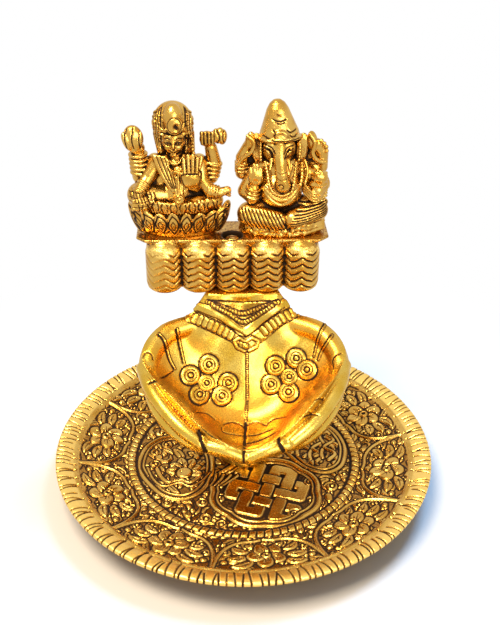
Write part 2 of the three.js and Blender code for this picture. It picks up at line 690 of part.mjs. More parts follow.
function lakshmi() {
  const pieces = lotusSeat();
  for (const side of [-1, 1]) {
    const raisedArm = [
      [side * 6.4, 0.6, 24, 2.4], [side * 9.6, 1.6, 17.5, 2.2], [side * 10.9, 0.4, 28.5, 1.9],
    ];
    pieces.push(chain([[side * 3.5, 1, 12, 3.8], [side * 13, -2, 11.4, 3.1], [side * 4, -5.6, 10.6, 2.3]]));
    pieces.push(chain(raisedArm));
    pieces.push(ball([side * 4.9, 1, 34.2], [2.8, 3.6, 7.6], [0, side * 0.16, 0]));
  }
  pieces.push(chain([[0, 0.6, 11, 5.2], [0, 0.4, 17, 4.4], [0, 0.6, 23, 5.4]], 10));
  pieces.push(ball([0, 0.8, 24], [7.4, 3.8, 3.2]));
  pieces.push(limb([0, 0.4, 25], [0, -0.2, 29], 2.4, 2.4));
  pieces.push(ball([0, -0.8, 30.6], [3.8, 4, 4.6]));
  pieces.push(ball([0, 0.8, 36.6], [5.6, 4.4, 7.2]));
  pieces.push(ball([0, -2.6, 36], [2.3, 2, 3]));
  pieces.push(ball([-12.4, -0.4, 32.6], [4.6, 3.2, 4.6]));
  pieces.push(limb([10.6, 0.2, 31.4], [15, -0.4, 32.6], 2.8, 2.6));
  pieces.push(chain([[-6.6, -1, 23.4, 2.3], [-9, -3.2, 17.6, 2.1], [-13, -3.8, 14.6, 1.9]]));
  const restingArm = [
    [6.6, -1, 23.4, 2.3], [8.4, -3, 17.4, 2.1], [12.6, -3.6, 14.4, 1.9], [16.4, -2.8, 14.8, 1.7],
  ];
  pieces.push(chain(restingArm));
  pieces.push(ball([5.2, -4.6, 19.6], [2.5, 1.4, 2.8]));
  pieces.push(ball([5.4, -4.4, 24], [2.8, 1.2, 2.8]));
  pieces.push(limb([-0.4, -4.6, 21], [0.6, -5.6, 12.4], 2.4, 1.8));
  return join(pieces);
}

function ganesha() {
  const seat = [[0, 0], [13.6, 0], [14.4, 1.4], [14, 3], [12.8, 4.2], [0, 4.2]];
  const pieces = [solidOf(turned(seat, 20).scale(1, 0.5, 1))];
  pieces.push(chain([[-3.5, 0.5, 7.4, 4], [-10.6, -3, 7, 3.6], [-1.5, -5.4, 5.8, 2.7]]));
  pieces.push(chain([[3.5, 0.5, 8.4, 4], [12.4, -1.6, 9.2, 3.8], [3, -5.4, 6.2, 2.8]]));
  pieces.push(limb([12, -3, 4], [5, -5, 3.2], 2.2, 2));
  pieces.push(ball([0, -1.2, 14], [7.6, 6.2, 7.6]));
  pieces.push(ball([0, 0.8, 21.6], [9, 4.8, 4.8]));
  pieces.push(ball([0, -1, 27.4], [6.2, 5.6, 6]));
  const crown = [
    [0, 29.5], [6.9, 29.5], [7, 31.5], [6, 35.2], [4.9, 39.4], [3.4, 43.2], [1.6, 45], [0, 45.4],
  ];
  pieces.push(solidOf(turned(crown, 12).scale(1, 0.85, 1)));
  pieces.push(chain([[0, -4, 27, 3], [0, -6.6, 21, 2.3], [0.2, -7.6, 15.4, 1.9], [0.6, -7.4, 12.6, 2.1]]));
  for (const side of [-1, 1]) {
    pieces.push(ball([side * 7.6, -0.4, 26.6], [2.4, 1.6, 5.2], [0, side * 0.1, 0]));
    pieces.push(chain([[side * 8, 1, 22, 2.8], [side * 12.4, 1.6, 21, 2.6], [side * 11.4, 0.4, 31.6, 2.3]]));
    const lowerArm = [
      [side * 8.6, -0.6, 20.6, 2.6], [side * 12.4, -1.8, 15.6, 2.7], [side * 9.8, -5, 13.4, 2.3],
    ];
    pieces.push(chain(lowerArm));
    pieces.push(ball([side * 4.2, -3.4, 24], [1, 3.2, 1], [0.5, 0, 0]));
  }
  pieces.push(ball([-9.8, -5.2, 18.6], [2.7, 1.8, 4.4]));
  pieces.push(ball([11.2, -4.6, 17.8], [3.6, 2.8, 3.4]));
  return join(pieces);
}

function seated(figure, x) {
  const hole = rod(FIGURE_SCREW_RADIUS + SCREW_CLEARANCE, -1, FIGURE_SCREW_DEPTH + 1, 0, 0);
  return figure.subtract(hole).translate([x, FIGURE_Y, SLAB_TOP]);
}

// Screws and washers

// A round-headed screw that points up from its head when sign is 1, and down when it is -1.
function screw(x, y, seat, sign, radius, length, headRadius, headHeight) {
  const shank = [
    [0, length],
    [radius * 0.6, length],
    [radius, length - radius * 0.4],
    [radius, 0],
    [headRadius, 0],
    [headRadius, -headHeight * 0.4],
    [headRadius * 0.75, -headHeight * 0.85],
    [headRadius * 0.4, -headHeight],
    [0, -headHeight],
  ];
  const geometry = turned(shank, HOLE_SIDES);
  if (sign < 0) geometry.rotateX(Math.PI);
  const slotWidth = headRadius * 0.32;
  const slot = new THREE.BoxGeometry(headRadius * 3, slotWidth, headHeight * 0.9);
  slot.translate(0, 0, -sign * headHeight);
  return solidOf(geometry).subtract(solidOf(slot)).translate([x, y, seat]);
}

function washer(x, y, bottom, radius, holeRadius, thickness) {
  const profile = [
    [holeRadius, bottom],
    [radius, bottom],
    [radius, bottom + thickness],
    [holeRadius, bottom + thickness],
    [holeRadius, bottom],
  ];
  return solidOf(turned(profile, HOLE_SIDES).translate(x, y, 0));
}

function figureScrew(x) {
  const seat = LEDGE_TOP + THRONE_HEIGHT / 2;
  const length = SLAB_TOP - seat + FIGURE_SCREW_DEPTH;
  const head = [FIGURE_SCREW_HEAD_RADIUS, FIGURE_SCREW_HEAD_HEIGHT];
  return screw(x, FIGURE_Y, seat, 1, FIGURE_SCREW_RADIUS, length, ...head);
}

// The assembly

const gold = { color: 0xe0a526, roughness: 0.32, metalness: 1 };
const darkGold = { color: 0x6b4a18, roughness: 0.45, metalness: 1 };
const steel = { color: 0xb9b6ae, roughness: 0.35, metalness: 1 };

const lamp = new THREE.Group();

function add(name, solid, look) {
  const mesh = new THREE.Mesh(geometryOf(solid), new THREE.MeshStandardMaterial(look));
  mesh.name = name;
  lamp.add(mesh);
}

const washerBottom = FOOT_HEIGHT - WASHER_THICKNESS;
const bowlScrewLength = FLOOR_TOP - washerBottom + BOWL_SCREW_DEPTH;
const throneHeadSeat = THRONE_TOP + THRONE_WASHER_THICKNESS;
const throneScrewLength = throneHeadSeat - LEDGE_TOP + THRONE_SCREW_DEPTH;

add("plate", plate(), gold);
add(
  "bowl_washer",
  washer(0, 0, washerBottom, WASHER_RADIUS, BOWL_SCREW_RADIUS + SCREW_CLEARANCE, WASHER_THICKNESS),
  steel,
);
add(
  "bowl_screw",
  screw(
    0,
    0,
    washerBottom,
    1,
    BOWL_SCREW_RADIUS,
    bowlScrewLength,
    BOWL_SCREW_HEAD_RADIUS,
    BOWL_SCREW_HEAD_HEIGHT,
  ),
  steel,
);
add("hands_bowl", handsBowl(), gold);
add("throne", throne(), gold);
add(
  "throne_washer",
  washer(
    THRONE_SCREW_X,
    THRONE_SCREW_Y,
    THRONE_TOP,
    THRONE_WASHER_RADIUS,
    THRONE_SCREW_RADIUS + SCREW_CLEARANCE,
    THRONE_WASHER_THICKNESS,
  ),
  darkGold,
);
add(
  "throne_screw",
  screw(
    THRONE_SCREW_X,
    THRONE_SCREW_Y,
    throneHeadSeat,
    -1,
    THRONE_SCREW_RADIUS,
    throneScrewLength,
    THRONE_SCREW_HEAD_RADIUS,
    THRONE_SCREW_HEAD_HEIGHT,
  ),
  gold,
);
add("lakshmi_figure", seated(lakshmi(), LAKSHMI_X), gold);
add("lakshmi_screw", figureScrew(LAKSHMI_X), steel);
add("ganesha_figure", seated(ganesha(), GANESHA_X), gold);
add("ganesha_screw", figureScrew(GANESHA_X), steel);

export default lamp;
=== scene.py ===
import math
import bpy
import numpy as np
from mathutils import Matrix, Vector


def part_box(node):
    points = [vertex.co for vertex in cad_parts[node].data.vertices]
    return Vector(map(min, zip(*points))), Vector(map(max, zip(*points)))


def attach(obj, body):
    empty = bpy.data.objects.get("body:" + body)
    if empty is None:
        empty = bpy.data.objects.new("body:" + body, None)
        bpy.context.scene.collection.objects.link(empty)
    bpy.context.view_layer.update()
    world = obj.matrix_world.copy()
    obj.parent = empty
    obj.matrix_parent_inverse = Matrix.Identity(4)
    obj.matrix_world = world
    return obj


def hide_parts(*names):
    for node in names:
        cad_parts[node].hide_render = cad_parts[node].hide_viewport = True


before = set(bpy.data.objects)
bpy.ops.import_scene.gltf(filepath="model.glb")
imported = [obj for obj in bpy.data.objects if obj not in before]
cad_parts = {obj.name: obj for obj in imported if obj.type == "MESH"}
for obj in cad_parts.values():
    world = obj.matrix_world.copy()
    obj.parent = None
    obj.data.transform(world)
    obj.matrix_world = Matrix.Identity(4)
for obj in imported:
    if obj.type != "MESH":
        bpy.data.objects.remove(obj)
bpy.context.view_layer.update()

import openvdb
from mathutils import Euler, Matrix, Vector

MM = 0.001
TINY = 1e-9


def node_box(name):
    """A node's lowest and highest corners, in millimetres."""
    low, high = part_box(name)
    return np.array(low) / MM, np.array(high) / MM


# Camera, at the photograph's viewing angle

CAMERA_PLACE = Vector((-11.2, -243.3, 205.6)) * MM
CAMERA_RIGHT = Vector((0.999, -0.045, 0.012))
CAMERA_UP = Vector((0.012, 0.507, 0.862))
CAMERA_BACK = CAMERA_RIGHT.cross(CAMERA_UP).normalized()
FOCAL_PIXELS = 900
PHOTO_WIDTH, PHOTO_HEIGHT = 500, 625
SENSOR = 36


def make_camera():
    data = bpy.data.cameras.new("camera")
    data.sensor_fit = "VERTICAL"
    data.sensor_height = SENSOR
    data.lens = FOCAL_PIXELS * SENSOR / PHOTO_HEIGHT
    data.clip_start = 0.01
    right = CAMERA_UP.cross(CAMERA_BACK).normalized()
    turn = Matrix((right, CAMERA_BACK.cross(right), CAMERA_BACK)).transposed().to_4x4()
    camera = bpy.data.objects.new("camera", data)
    camera.matrix_world = Matrix.Translation(CAMERA_PLACE) @ turn
    bpy.context.collection.objects.link(camera)
    bpy.context.scene.camera = camera


def front_view(points):
    """Where points in millimetres lie in the photograph's view, in its pixels."""
    away = np.asarray(points) * MM - np.array(CAMERA_PLACE)
    depth = away @ -np.array(CAMERA_BACK)
    return (PHOTO_WIDTH / 2 + FOCAL_PIXELS * (away @ np.array(CAMERA_RIGHT.normalized())) / depth,
            PHOTO_HEIGHT / 2 - FOCAL_PIXELS * (away @ np.array(CAMERA_UP.normalized())) / depth)


# Shader nodes

def set_inputs(tree, node, inputs):
    """Links the inputs that are given as sockets, and sets the others as values."""
    for key, value in inputs.items():
        if isinstance(value, bpy.types.NodeSocket):
            tree.links.new(value, node.inputs[key])
        else:
            node.inputs[key].default_value = value


def add_node(tree, kind, inputs=None, **options):
    node = tree.nodes.new("ShaderNode" + kind)
    for option, value in options.items():
        setattr(node, option, value)
    set_inputs(tree, node, inputs or {})
    return node


# Studio: a white floor and surround, with soft lamps

LAMP_AIM = Vector((0, 0, 0.05))
FILL = {"Color": (0.92, 0.96, 1.0, 1), "Strength": 0.45}
WHITE = {"Color": (1, 1, 1, 1), "Strength": 1}
FLOOR = {"Base Color": (0.6, 0.6, 0.6, 1), "Roughness": 0.9, "Specular IOR Level": 0}
FLOOR_SIZE = 8
SHADOW_FADE = {"From Min": 0.085, "From Max": 0.16}


def add_lamp(name, place, size, power, colour, lit):
    """A square lamp aimed at the middle, which lights only the objects given."""
    data = bpy.data.lights.new(name, "AREA")
    data.size = size
    data.energy = power
    data.color = colour
    lamp = bpy.data.objects.new(name, data)
    lamp.location = place
    lamp.rotation_euler = (LAMP_AIM - Vector(place)).to_track_quat("-Z", "Y").to_euler()
    bpy.context.collection.objects.link(lamp)
    receivers = bpy.data.collections.new(name)
    for thing in lit:
        receivers.objects.link(thing)
    lamp.light_linking.receiver_collection = receivers


def seen_directly(tree):
    """A value of 1 for rays from the camera, mirrored rays and rays through glass."""
    path = add_node(tree, "LightPath").outputs
    seen = path["Is Camera Ray"]
    for kind in ("Is Glossy Ray", "Is Transmission Ray"):
        seen = add_node(tree, "Math", {0: seen, 1: path[kind]}, operation="MAXIMUM").outputs[0]
    return seen


def make_world():
    world = bpy.data.worlds.new("studio")
    bpy.context.scene.world = world
    world.use_nodes = True
    tree = world.node_tree
    tree.nodes.clear()
    fill, white = (add_node(tree, "Background", look).outputs[0] for look in (FILL, WHITE))
    mix = add_node(tree, "MixShader", {"Fac": seen_directly(tree), 1: fill, 2: white})
    add_node(tree, "OutputWorld", {"Surface": mix.outputs[0]})


def make_floor():
    """A floor that takes the shadow near the object and is plain white further off."""
    bpy.ops.mesh.primitive_plane_add(size=FLOOR_SIZE)
    floor = bpy.context.object
    floor.name = "floor"
    material = bpy.data.materials.new("floor")
    material.use_nodes = True
    tree = material.node_tree
    shadowed = tree.nodes["Principled BSDF"]
    set_inputs(tree, shadowed, FLOOR)
    place = add_node(tree, "TexCoord").outputs["Object"]
    away = add_node(tree, "VectorMath", {0: place}, operation="LENGTH").outputs["Value"]
    fade = add_node(tree, "MapRange", {"Value": away, **SHADOW_FADE}, interpolation_type="SMOOTHSTEP")
    far = fade.outputs["Result"]
    share = add_node(tree, "Math", {0: far, 1: seen_directly(tree)}, operation="MULTIPLY").outputs[0]
    white = add_node(tree, "Emission", WHITE).outputs[0]
    mix = add_node(tree, "MixShader", {"Fac": share, 1: shadowed.outputs[0], 2: white})
    set_inputs(tree, tree.nodes["Material Output"], {"Surface": mix.outputs[0]})
    floor.data.materials.append(material)
    return floor


# Lacquered brass. A mesh's patina attribute says where it is dark, from patina and painted shade (up to 1),
# or bright, from wear and a painted highlight (down to the worn end), and its warmth attribute is painted
# warm light reflected from the gold onto itself. Noise has a scale and a detail

WORN_SHEEN, WORN_SHEEN_START = -0.4, -0.05
FINE_GRAIN = (2600, 4)
BROAD_GRAIN = (170, 3)
STAIN = 0.16
PIT_DEPTH = 0.12 * MM
# Colours blended in: painted warm light reflected from the gold, worn metal with a painted highlight, brown
# for thin patina and painted shade, and the darkest patina and painted shade
REFLECTED_LIGHT_GOLD = (0.80, 0.35, 0.03, 1)
WORN_SHEEN_GOLD = (0.95, 0.63, 0.16, 1)
BROWN_GOLD = (0.34, 0.13, 0.012, 1)
PATINA_AND_SHADE_DARK = (0.020, 0.009, 0.003, 1)


def cast_gold(name, colour, deep, roughness, grain):
    """Gold metal with pitted cast grain; dark matt patina and painted shade, bright wear with a painted
    highlight, and painted warm reflected light, where the mesh says.
    """
    material = bpy.data.materials.new(name)
    material.use_nodes = True
    tree = material.node_tree
    place = add_node(tree, "TexCoord").outputs["Object"]

    def painted(label):
        return add_node(tree, "Attribute", attribute_name=label).outputs["Fac"]

    def noise(scale, detail):
        return add_node(tree, "TexNoise", {"Scale": scale, "Detail": detail, "Vector": place}).outputs["Fac"]

    def remap(value, low, high, to_low=0.0, to_high=1.0):
        ends = {"Value": value, "From Min": low, "From Max": high, "To Min": to_low, "To Max": to_high}
        return add_node(tree, "MapRange", ends, interpolation_type="SMOOTHSTEP").outputs["Result"]

    def total(a, b):
        return add_node(tree, "Math", {0: a, 1: b}, operation="ADD", use_clamp=True).outputs[0]

    def blend(factor, a, b):
        return add_node(tree, "Mix", {"Factor": factor, 6: a, 7: b}, data_type="RGBA").outputs[2]

    patina_and_shading, reflected_warmth = painted("patina_and_shading"), painted("reflected_warmth")
    fine, broad = noise(*FINE_GRAIN), noise(*BROAD_GRAIN)
    # Patina and painted shade, mottled by fine noise
    stain_and_shade = total(patina_and_shading, remap(fine, 0.35, 0.75, -STAIN, STAIN))
    dark = remap(stain_and_shade, 0.32, 0.72)
    tint = blend(remap(broad, 0.3, 0.7), (*colour, 1), (*deep, 1))
    # Painted warm light, reflected from the gold onto itself
    tint = blend(reflected_warmth, tint, REFLECTED_LIGHT_GOLD)
    # Worn bright metal together with a painted highlight
    tint = blend(remap(patina_and_shading, WORN_SHEEN, WORN_SHEEN_START, 1.0, 0.0), tint, WORN_SHEEN_GOLD)
    tint = blend(remap(stain_and_shade, 0.05, 0.5), tint, BROWN_GOLD)
    rough = total(remap(fine, 0.3, 0.8, roughness - 0.05, roughness + 0.12), remap(dark, 0.0, 1.0, 0.0, 0.35))
    height = total(remap(fine, 0.2, 0.8, 0.0, 0.6), remap(broad, 0.2, 0.8, 0.0, 0.4))
    pits = add_node(tree, "Bump", {"Strength": grain, "Distance": PIT_DEPTH, "Height": height})
    set_inputs(tree, tree.nodes["Principled BSDF"], {
        "Base Color": blend(dark, tint, PATINA_AND_SHADE_DARK),
        "Metallic": remap(stain_and_shade, 0.35, 0.8, 1.0, 0.15),
        "Specular IOR Level": remap(dark, 0.0, 1.0, 0.5, 0.12),
        "Roughness": total(rough, remap(patina_and_shading, WORN_SHEEN, WORN_SHEEN_START, 0.1, 0.0)),
        "Normal": pits.outputs["Normal"],
    })
    return material


def make_piece(name, points, faces, patina_and_shading, material, node, reflected_warmth=0.0):
    """A mesh piece from points in millimetres, which stands for a node."""
    mesh = bpy.data.meshes.new(name)
    points = np.asarray(points, np.float32) * MM
    faces = np.asarray(faces, np.int32)
    mesh.vertices.add(len(points))
    mesh.vertices.foreach_set("co", points.ravel())
    mesh.loops.add(faces.size)
    mesh.loops.foreach_set("vertex_index", faces.ravel())
    mesh.polygons.add(len(faces))
    mesh.polygons.foreach_set("loop_start", np.arange(0, faces.size, faces.shape[1], dtype=np.int32))
    mesh.update(calc_edges=True)
    mesh.validate()
    mesh.polygons.foreach_set("use_smooth", np.ones(len(mesh.polygons), bool))
    # Patina with painted shade and painted highlight, and painted warm reflected light, kept as attributes
    # for the material
    for label, values in (("patina_and_shading", patina_and_shading), ("reflected_warmth", reflected_warmth)):
        layer = mesh.attributes.new(label, "FLOAT", "POINT")
        layer.data.foreach_set("value", np.full(len(points), values, np.float32))
    mesh.materials.append(material)
    piece = bpy.data.objects.new(name, mesh)
    bpy.context.collection.objects.link(piece)
    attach(piece, "root")
    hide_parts(node)


# Drawing helpers, in millimetres

CIRCLE = np.stack([wave(np.linspace(0, 2 * math.pi, 25)) for wave in (np.cos, np.sin)], 1)


def smooth(value, low, high):
    share = np.clip((value - low) / (high - low), 0, 1)
    return share * share * (3 - 2 * share)


def direction(degrees):
    """The unit vector at an angle from the first axis."""
    return np.array([math.cos(math.radians(degrees)), math.sin(math.radians(degrees))])


def curve(points, steps=6, closed=False):
    """A Catmull-Rom curve through points."""
    points = np.asarray(points, float)
    if closed:
        around = np.vstack([points[-1:], points, points[:2]])
    else:
        around = np.vstack([2 * points[:1] - points[1:2], points, 2 * points[-1:] - points[-2:-1]])
    t = np.linspace(0, 1, steps, endpoint=False)[:, None]
    parts = []
    for a, b, c, d in zip(around, around[1:], around[2:], around[3:]):
        bend = (2 * a - 5 * b + 4 * c - d) * t**2 + (3 * b - a - 3 * c + d) * t**3
        parts.append(0.5 * (2 * b + (c - a) * t + bend))
    if not closed:
        parts.append(points[-1:])
    return np.vstack(parts)


def closed(points):
    """A smooth loop through points that ends where it starts."""
    line = curve(points, closed=True)
    return np.vstack([line, line[:1]])


def spaced(points, steps, pitch):
    """Places a pitch apart along a curve, each with its way on along it."""
    line = curve(points, steps)
    lengths = np.concatenate([[0], np.cumsum(np.linalg.norm(np.diff(line, axis=0), axis=1))])

    def place(s):
        return np.array([np.interp(s, lengths, values) for values in line.T])

    return [(place(s), place(s + 0.1) - place(s)) for s in np.arange(pitch / 2, lengths[-1], pitch)]


def widths(width, end, count):
    """Half-widths that taper evenly from a width to an end width."""
    return np.linspace(width / 2, (width if end is None else end) / 2, count)


class Drawing:
    """Raised shapes drawn over scattered points of a plane, each with a dark line round it."""

    OUTLINE = 0.38
    MARGIN = 0.2
    CUT_SOFTNESS = 0.14

    def __init__(self, u, v):
        self.u, self.v = u, v
        # Raised relief, grooves, dark ground with painted shade, and painted warm reflected light
        self.raised, self.groove, self.dark, self.warm_light = np.zeros((4, len(u)))

    def near(self, points, reach):
        low, high = np.min(points, 0) - reach, np.max(points, 0) + reach
        inside = (self.u > low[0]) & (self.u < high[0]) & (self.v > low[1]) & (self.v < high[1])
        return np.flatnonzero(inside)

    def depth(self, at, points, halves):
        """How far points lie inside a stroke: its half-width less the distance to its line."""
        u, v = self.u[at], self.v[at]
        best = np.full(len(at), -1e9)
        for (a, b), (wa, wb) in zip(zip(points, points[1:]), zip(halves, halves[1:])):
            along = b - a
            t = np.clip(((u - a[0]) * along[0] + (v - a[1]) * along[1]) / max(along @ along, TINY), 0, 1)
            away = np.hypot(u - a[0] - t * along[0], v - a[1] - t * along[1])
            best = np.maximum(best, wa + (wb - wa) * t - away)
        return best

    def lay(self, at, inside, round_over=0.5):
        """Lays a shape over what is there, and clears a line round it."""
        clear = smooth(inside, -self.OUTLINE - 0.12, -self.OUTLINE + 0.12)
        covered = smooth(inside, -0.14, 0.12)
        self.raised[at] = np.maximum(self.raised[at] * (1 - clear), smooth(inside, -0.1, round_over))
        self.groove[at] *= 1 - clear
        self.dark[at] = np.maximum(self.dark[at], clear) * (1 - covered)

    def stroke(self, points, width, end=None, round_over=0.5):
        """A raised line, tapering from its first width to its end width."""
        points = np.asarray(points, float)
        halves = widths(width, end, len(points))
        at = self.near(points, halves.max() + self.OUTLINE + self.MARGIN)
        self.lay(at, self.depth(at, points, halves), round_over)

    def cut(self, points, width, end=None):
        """A groove along straight lines between points."""
        points = np.asarray(points, float)
        halves = widths(width, end, len(points))
        at = self.near(points, halves.max() + self.CUT_SOFTNESS)
        self.groove[at] = np.maximum(self.groove[at], self.cut_edge(self.depth(at, points, halves)))

    def cut_edge(self, depth):
        return smooth(depth, -self.CUT_SOFTNESS, self.CUT_SOFTNESS)

    def engrave(self, points, width, end=None):
        """A groove along a smooth curve through points."""
        self.cut(curve(points), width, end)

    def paint_patch(self, layer, points, width, amount, soft):
        """A soft patch along a line: painted shade in the dark layer, or painted warm reflected light in the
        warm one.
        """
        points = np.asarray(points, float)
        at = self.near(points, width / 2 + soft)
        patch = amount * smooth(self.depth(at, points, widths(width, None, len(points))), -soft, soft)
        layer[at] = np.maximum(layer[at], patch)

    def leaf(self, root, tip, width, bend=0.0, veins=2):
        """A pointed leaf with a cut midrib and side veins. bend bows its axis."""
        root, tip = np.asarray(root, float), np.asarray(tip, float)
        t = np.linspace(0, 1, 10)[:, None]
        axis = tip - root
        side = np.array([-axis[1], axis[0]])
        points = root + axis * t + side * bend * np.sin(math.pi * t)
        halves = width / 2 * np.sin(math.pi * np.clip(t[:, 0] * 0.92 + 0.07, 0, 1)) ** 0.75
        at = self.near(points, width / 2 + self.OUTLINE + self.MARGIN)
        self.lay(at, self.depth(at, points, halves))
        if veins:
            self.cut(points[2:8], 0.34, 0.2)
        way = side / np.linalg.norm(side)
        for k in range(1, veins):
            for sign in (-1, 1):
                start = points[2 * k + 1]
                self.cut([start, start + way * sign * width * 0.34 + axis * 0.12], 0.26, 0.12)

    def disc(self, centre, radius):
        at = self.near([centre], radius + self.OUTLINE + self.MARGIN)
        self.lay(at, radius - np.hypot(self.u[at] - centre[0], self.v[at] - centre[1]))

    def dot(self, centre, radius):
        """A round hollow."""
        at = self.near([centre], radius + 0.3)
        depth = radius - np.hypot(self.u[at] - centre[0], self.v[at] - centre[1])
        self.groove[at] = np.maximum(self.groove[at], self.cut_edge(depth))


def arc(centre, radii, angles):
    """Points round a centre, with a radius and an angle for each."""
    return np.stack([centre[0] + radii * np.cos(angles), centre[1] + radii * np.sin(angles)], 1)


def curl(draw, centre, radius, start, turns, width):
    """A scroll that winds in to a round eye. A negative number of turns winds the other way."""
    t = np.linspace(0, 1, 18)
    points = arc(centre, radius * (1 - 0.7 * t), math.radians(start) + turns * 2 * math.pi * t)
    draw.stroke(points, width * 0.55, width)
    draw.disc(points[-1], width * 0.52)


def curls(draw, table, width):
    for x, y, radius, start, turns in table:
        curl(draw, (x, y), radius, start, turns, width)


def comma(draw, centre, radius, start, sweep, width):
    """A curved drop: a thin tail round to a full head."""
    angles = math.radians(start) + math.radians(sweep) * np.linspace(0, 1, 6)
    draw.stroke(arc(centre, radius, angles), width * 0.35, width)


COMMA_SHARE = 0.62


def foliage(draw, low, high, spacing, seed, size):
    """Fills a rectangle with overlapping commas and small leaves."""
    rng = np.random.default_rng(seed)
    spots = [(u, v) for u in np.arange(low[0], high[0], spacing) for v in np.arange(low[1], high[1], spacing)]
    for i in rng.permutation(len(spots)):
        centre = np.array(spots[i]) + rng.uniform(-0.5, 0.5, 2) * spacing
        angle = rng.uniform(0, 360)
        if rng.uniform() < COMMA_SHARE:
            sweep = rng.choice([-1, 1]) * rng.uniform(110, 230)
            comma(draw, centre, size * rng.uniform(0.9, 1.5), angle, sweep, size * rng.uniform(1.0, 1.5))
        else:
            way = direction(angle) * size * rng.uniform(1.3, 2.0)
            draw.leaf(centre - way, centre + way, size * rng.uniform(1.2, 1.7), rng.uniform(-0.15, 0.15), 1)


def flower(draw, centre, radius, petals, turn=0.0):
    """A round flower: a ringed eye and broad petals with cuts down each."""
    centre = np.asarray(centre, float)
    width = 2 * radius * 0.62 * math.sin(math.pi / petals) * 1.35
    for k in range(petals):
        way = direction(turn + 360 * k / petals)
        side = np.array([-way[1], way[0]])
        draw.leaf(centre + way * radius * 0.26, centre + way * radius * 1.04, width, veins=0)
        for across in (-0.22, 0, 0.22):
            start = centre + way * radius * 0.42 + side * width * across * 0.6
            end = start + way * radius * (0.4 - abs(across)) + side * width * across * 0.5
            draw.cut([start, end], 0.3, 0.16)
    draw.disc(centre, radius * 0.3)
    draw.dot(centre, radius * 0.12)


# Cast shapes: solids kept as distances on a grid, blended into each other like wax

def turned_by(degrees):
    """A rotation matrix for turns about x, y and z, in degrees."""
    return np.array(Euler([math.radians(angle) for angle in degrees]).to_matrix())


def blurred(values, cells):
    """Values averaged over a cube that reaches a number of cells each way."""
    for axis in range(3):
        padded = np.concatenate([np.repeat(np.take(values, [0], axis), cells + 1, axis), values,
                                 np.repeat(np.take(values, [-1], axis), cells, axis)], axis)
        total = np.cumsum(padded, axis, dtype=np.float32)
        size = values.shape[axis]
        width = 2 * cells + 1
        ends, starts = range(width, width + size), range(size)
        values = (np.take(total, ends, axis) - np.take(total, starts, axis)) / width
    return values


def outline_distance(outline, u, v):
    """Distance from points to a closed outline, negative inside it."""
    u, v = np.broadcast_arrays(u, v)
    best = np.full(u.shape, np.inf)
    inside = np.zeros(u.shape, bool)
    for (au, av), (bu, bv) in zip(outline, np.roll(outline, -1, axis=0)):
        du, dv = bu - au, bv - av
        t = np.clip(((u - au) * du + (v - av) * dv) / max(du * du + dv * dv, TINY), 0, 1)
        best = np.minimum(best, (u - au - t * du) ** 2 + (v - av - t * dv) ** 2)
        if dv != 0:
            inside ^= ((av > v) != (bv > v)) & (u < du * (v - av) / dv + au)
    return np.where(inside, -1, 1) * np.sqrt(best)


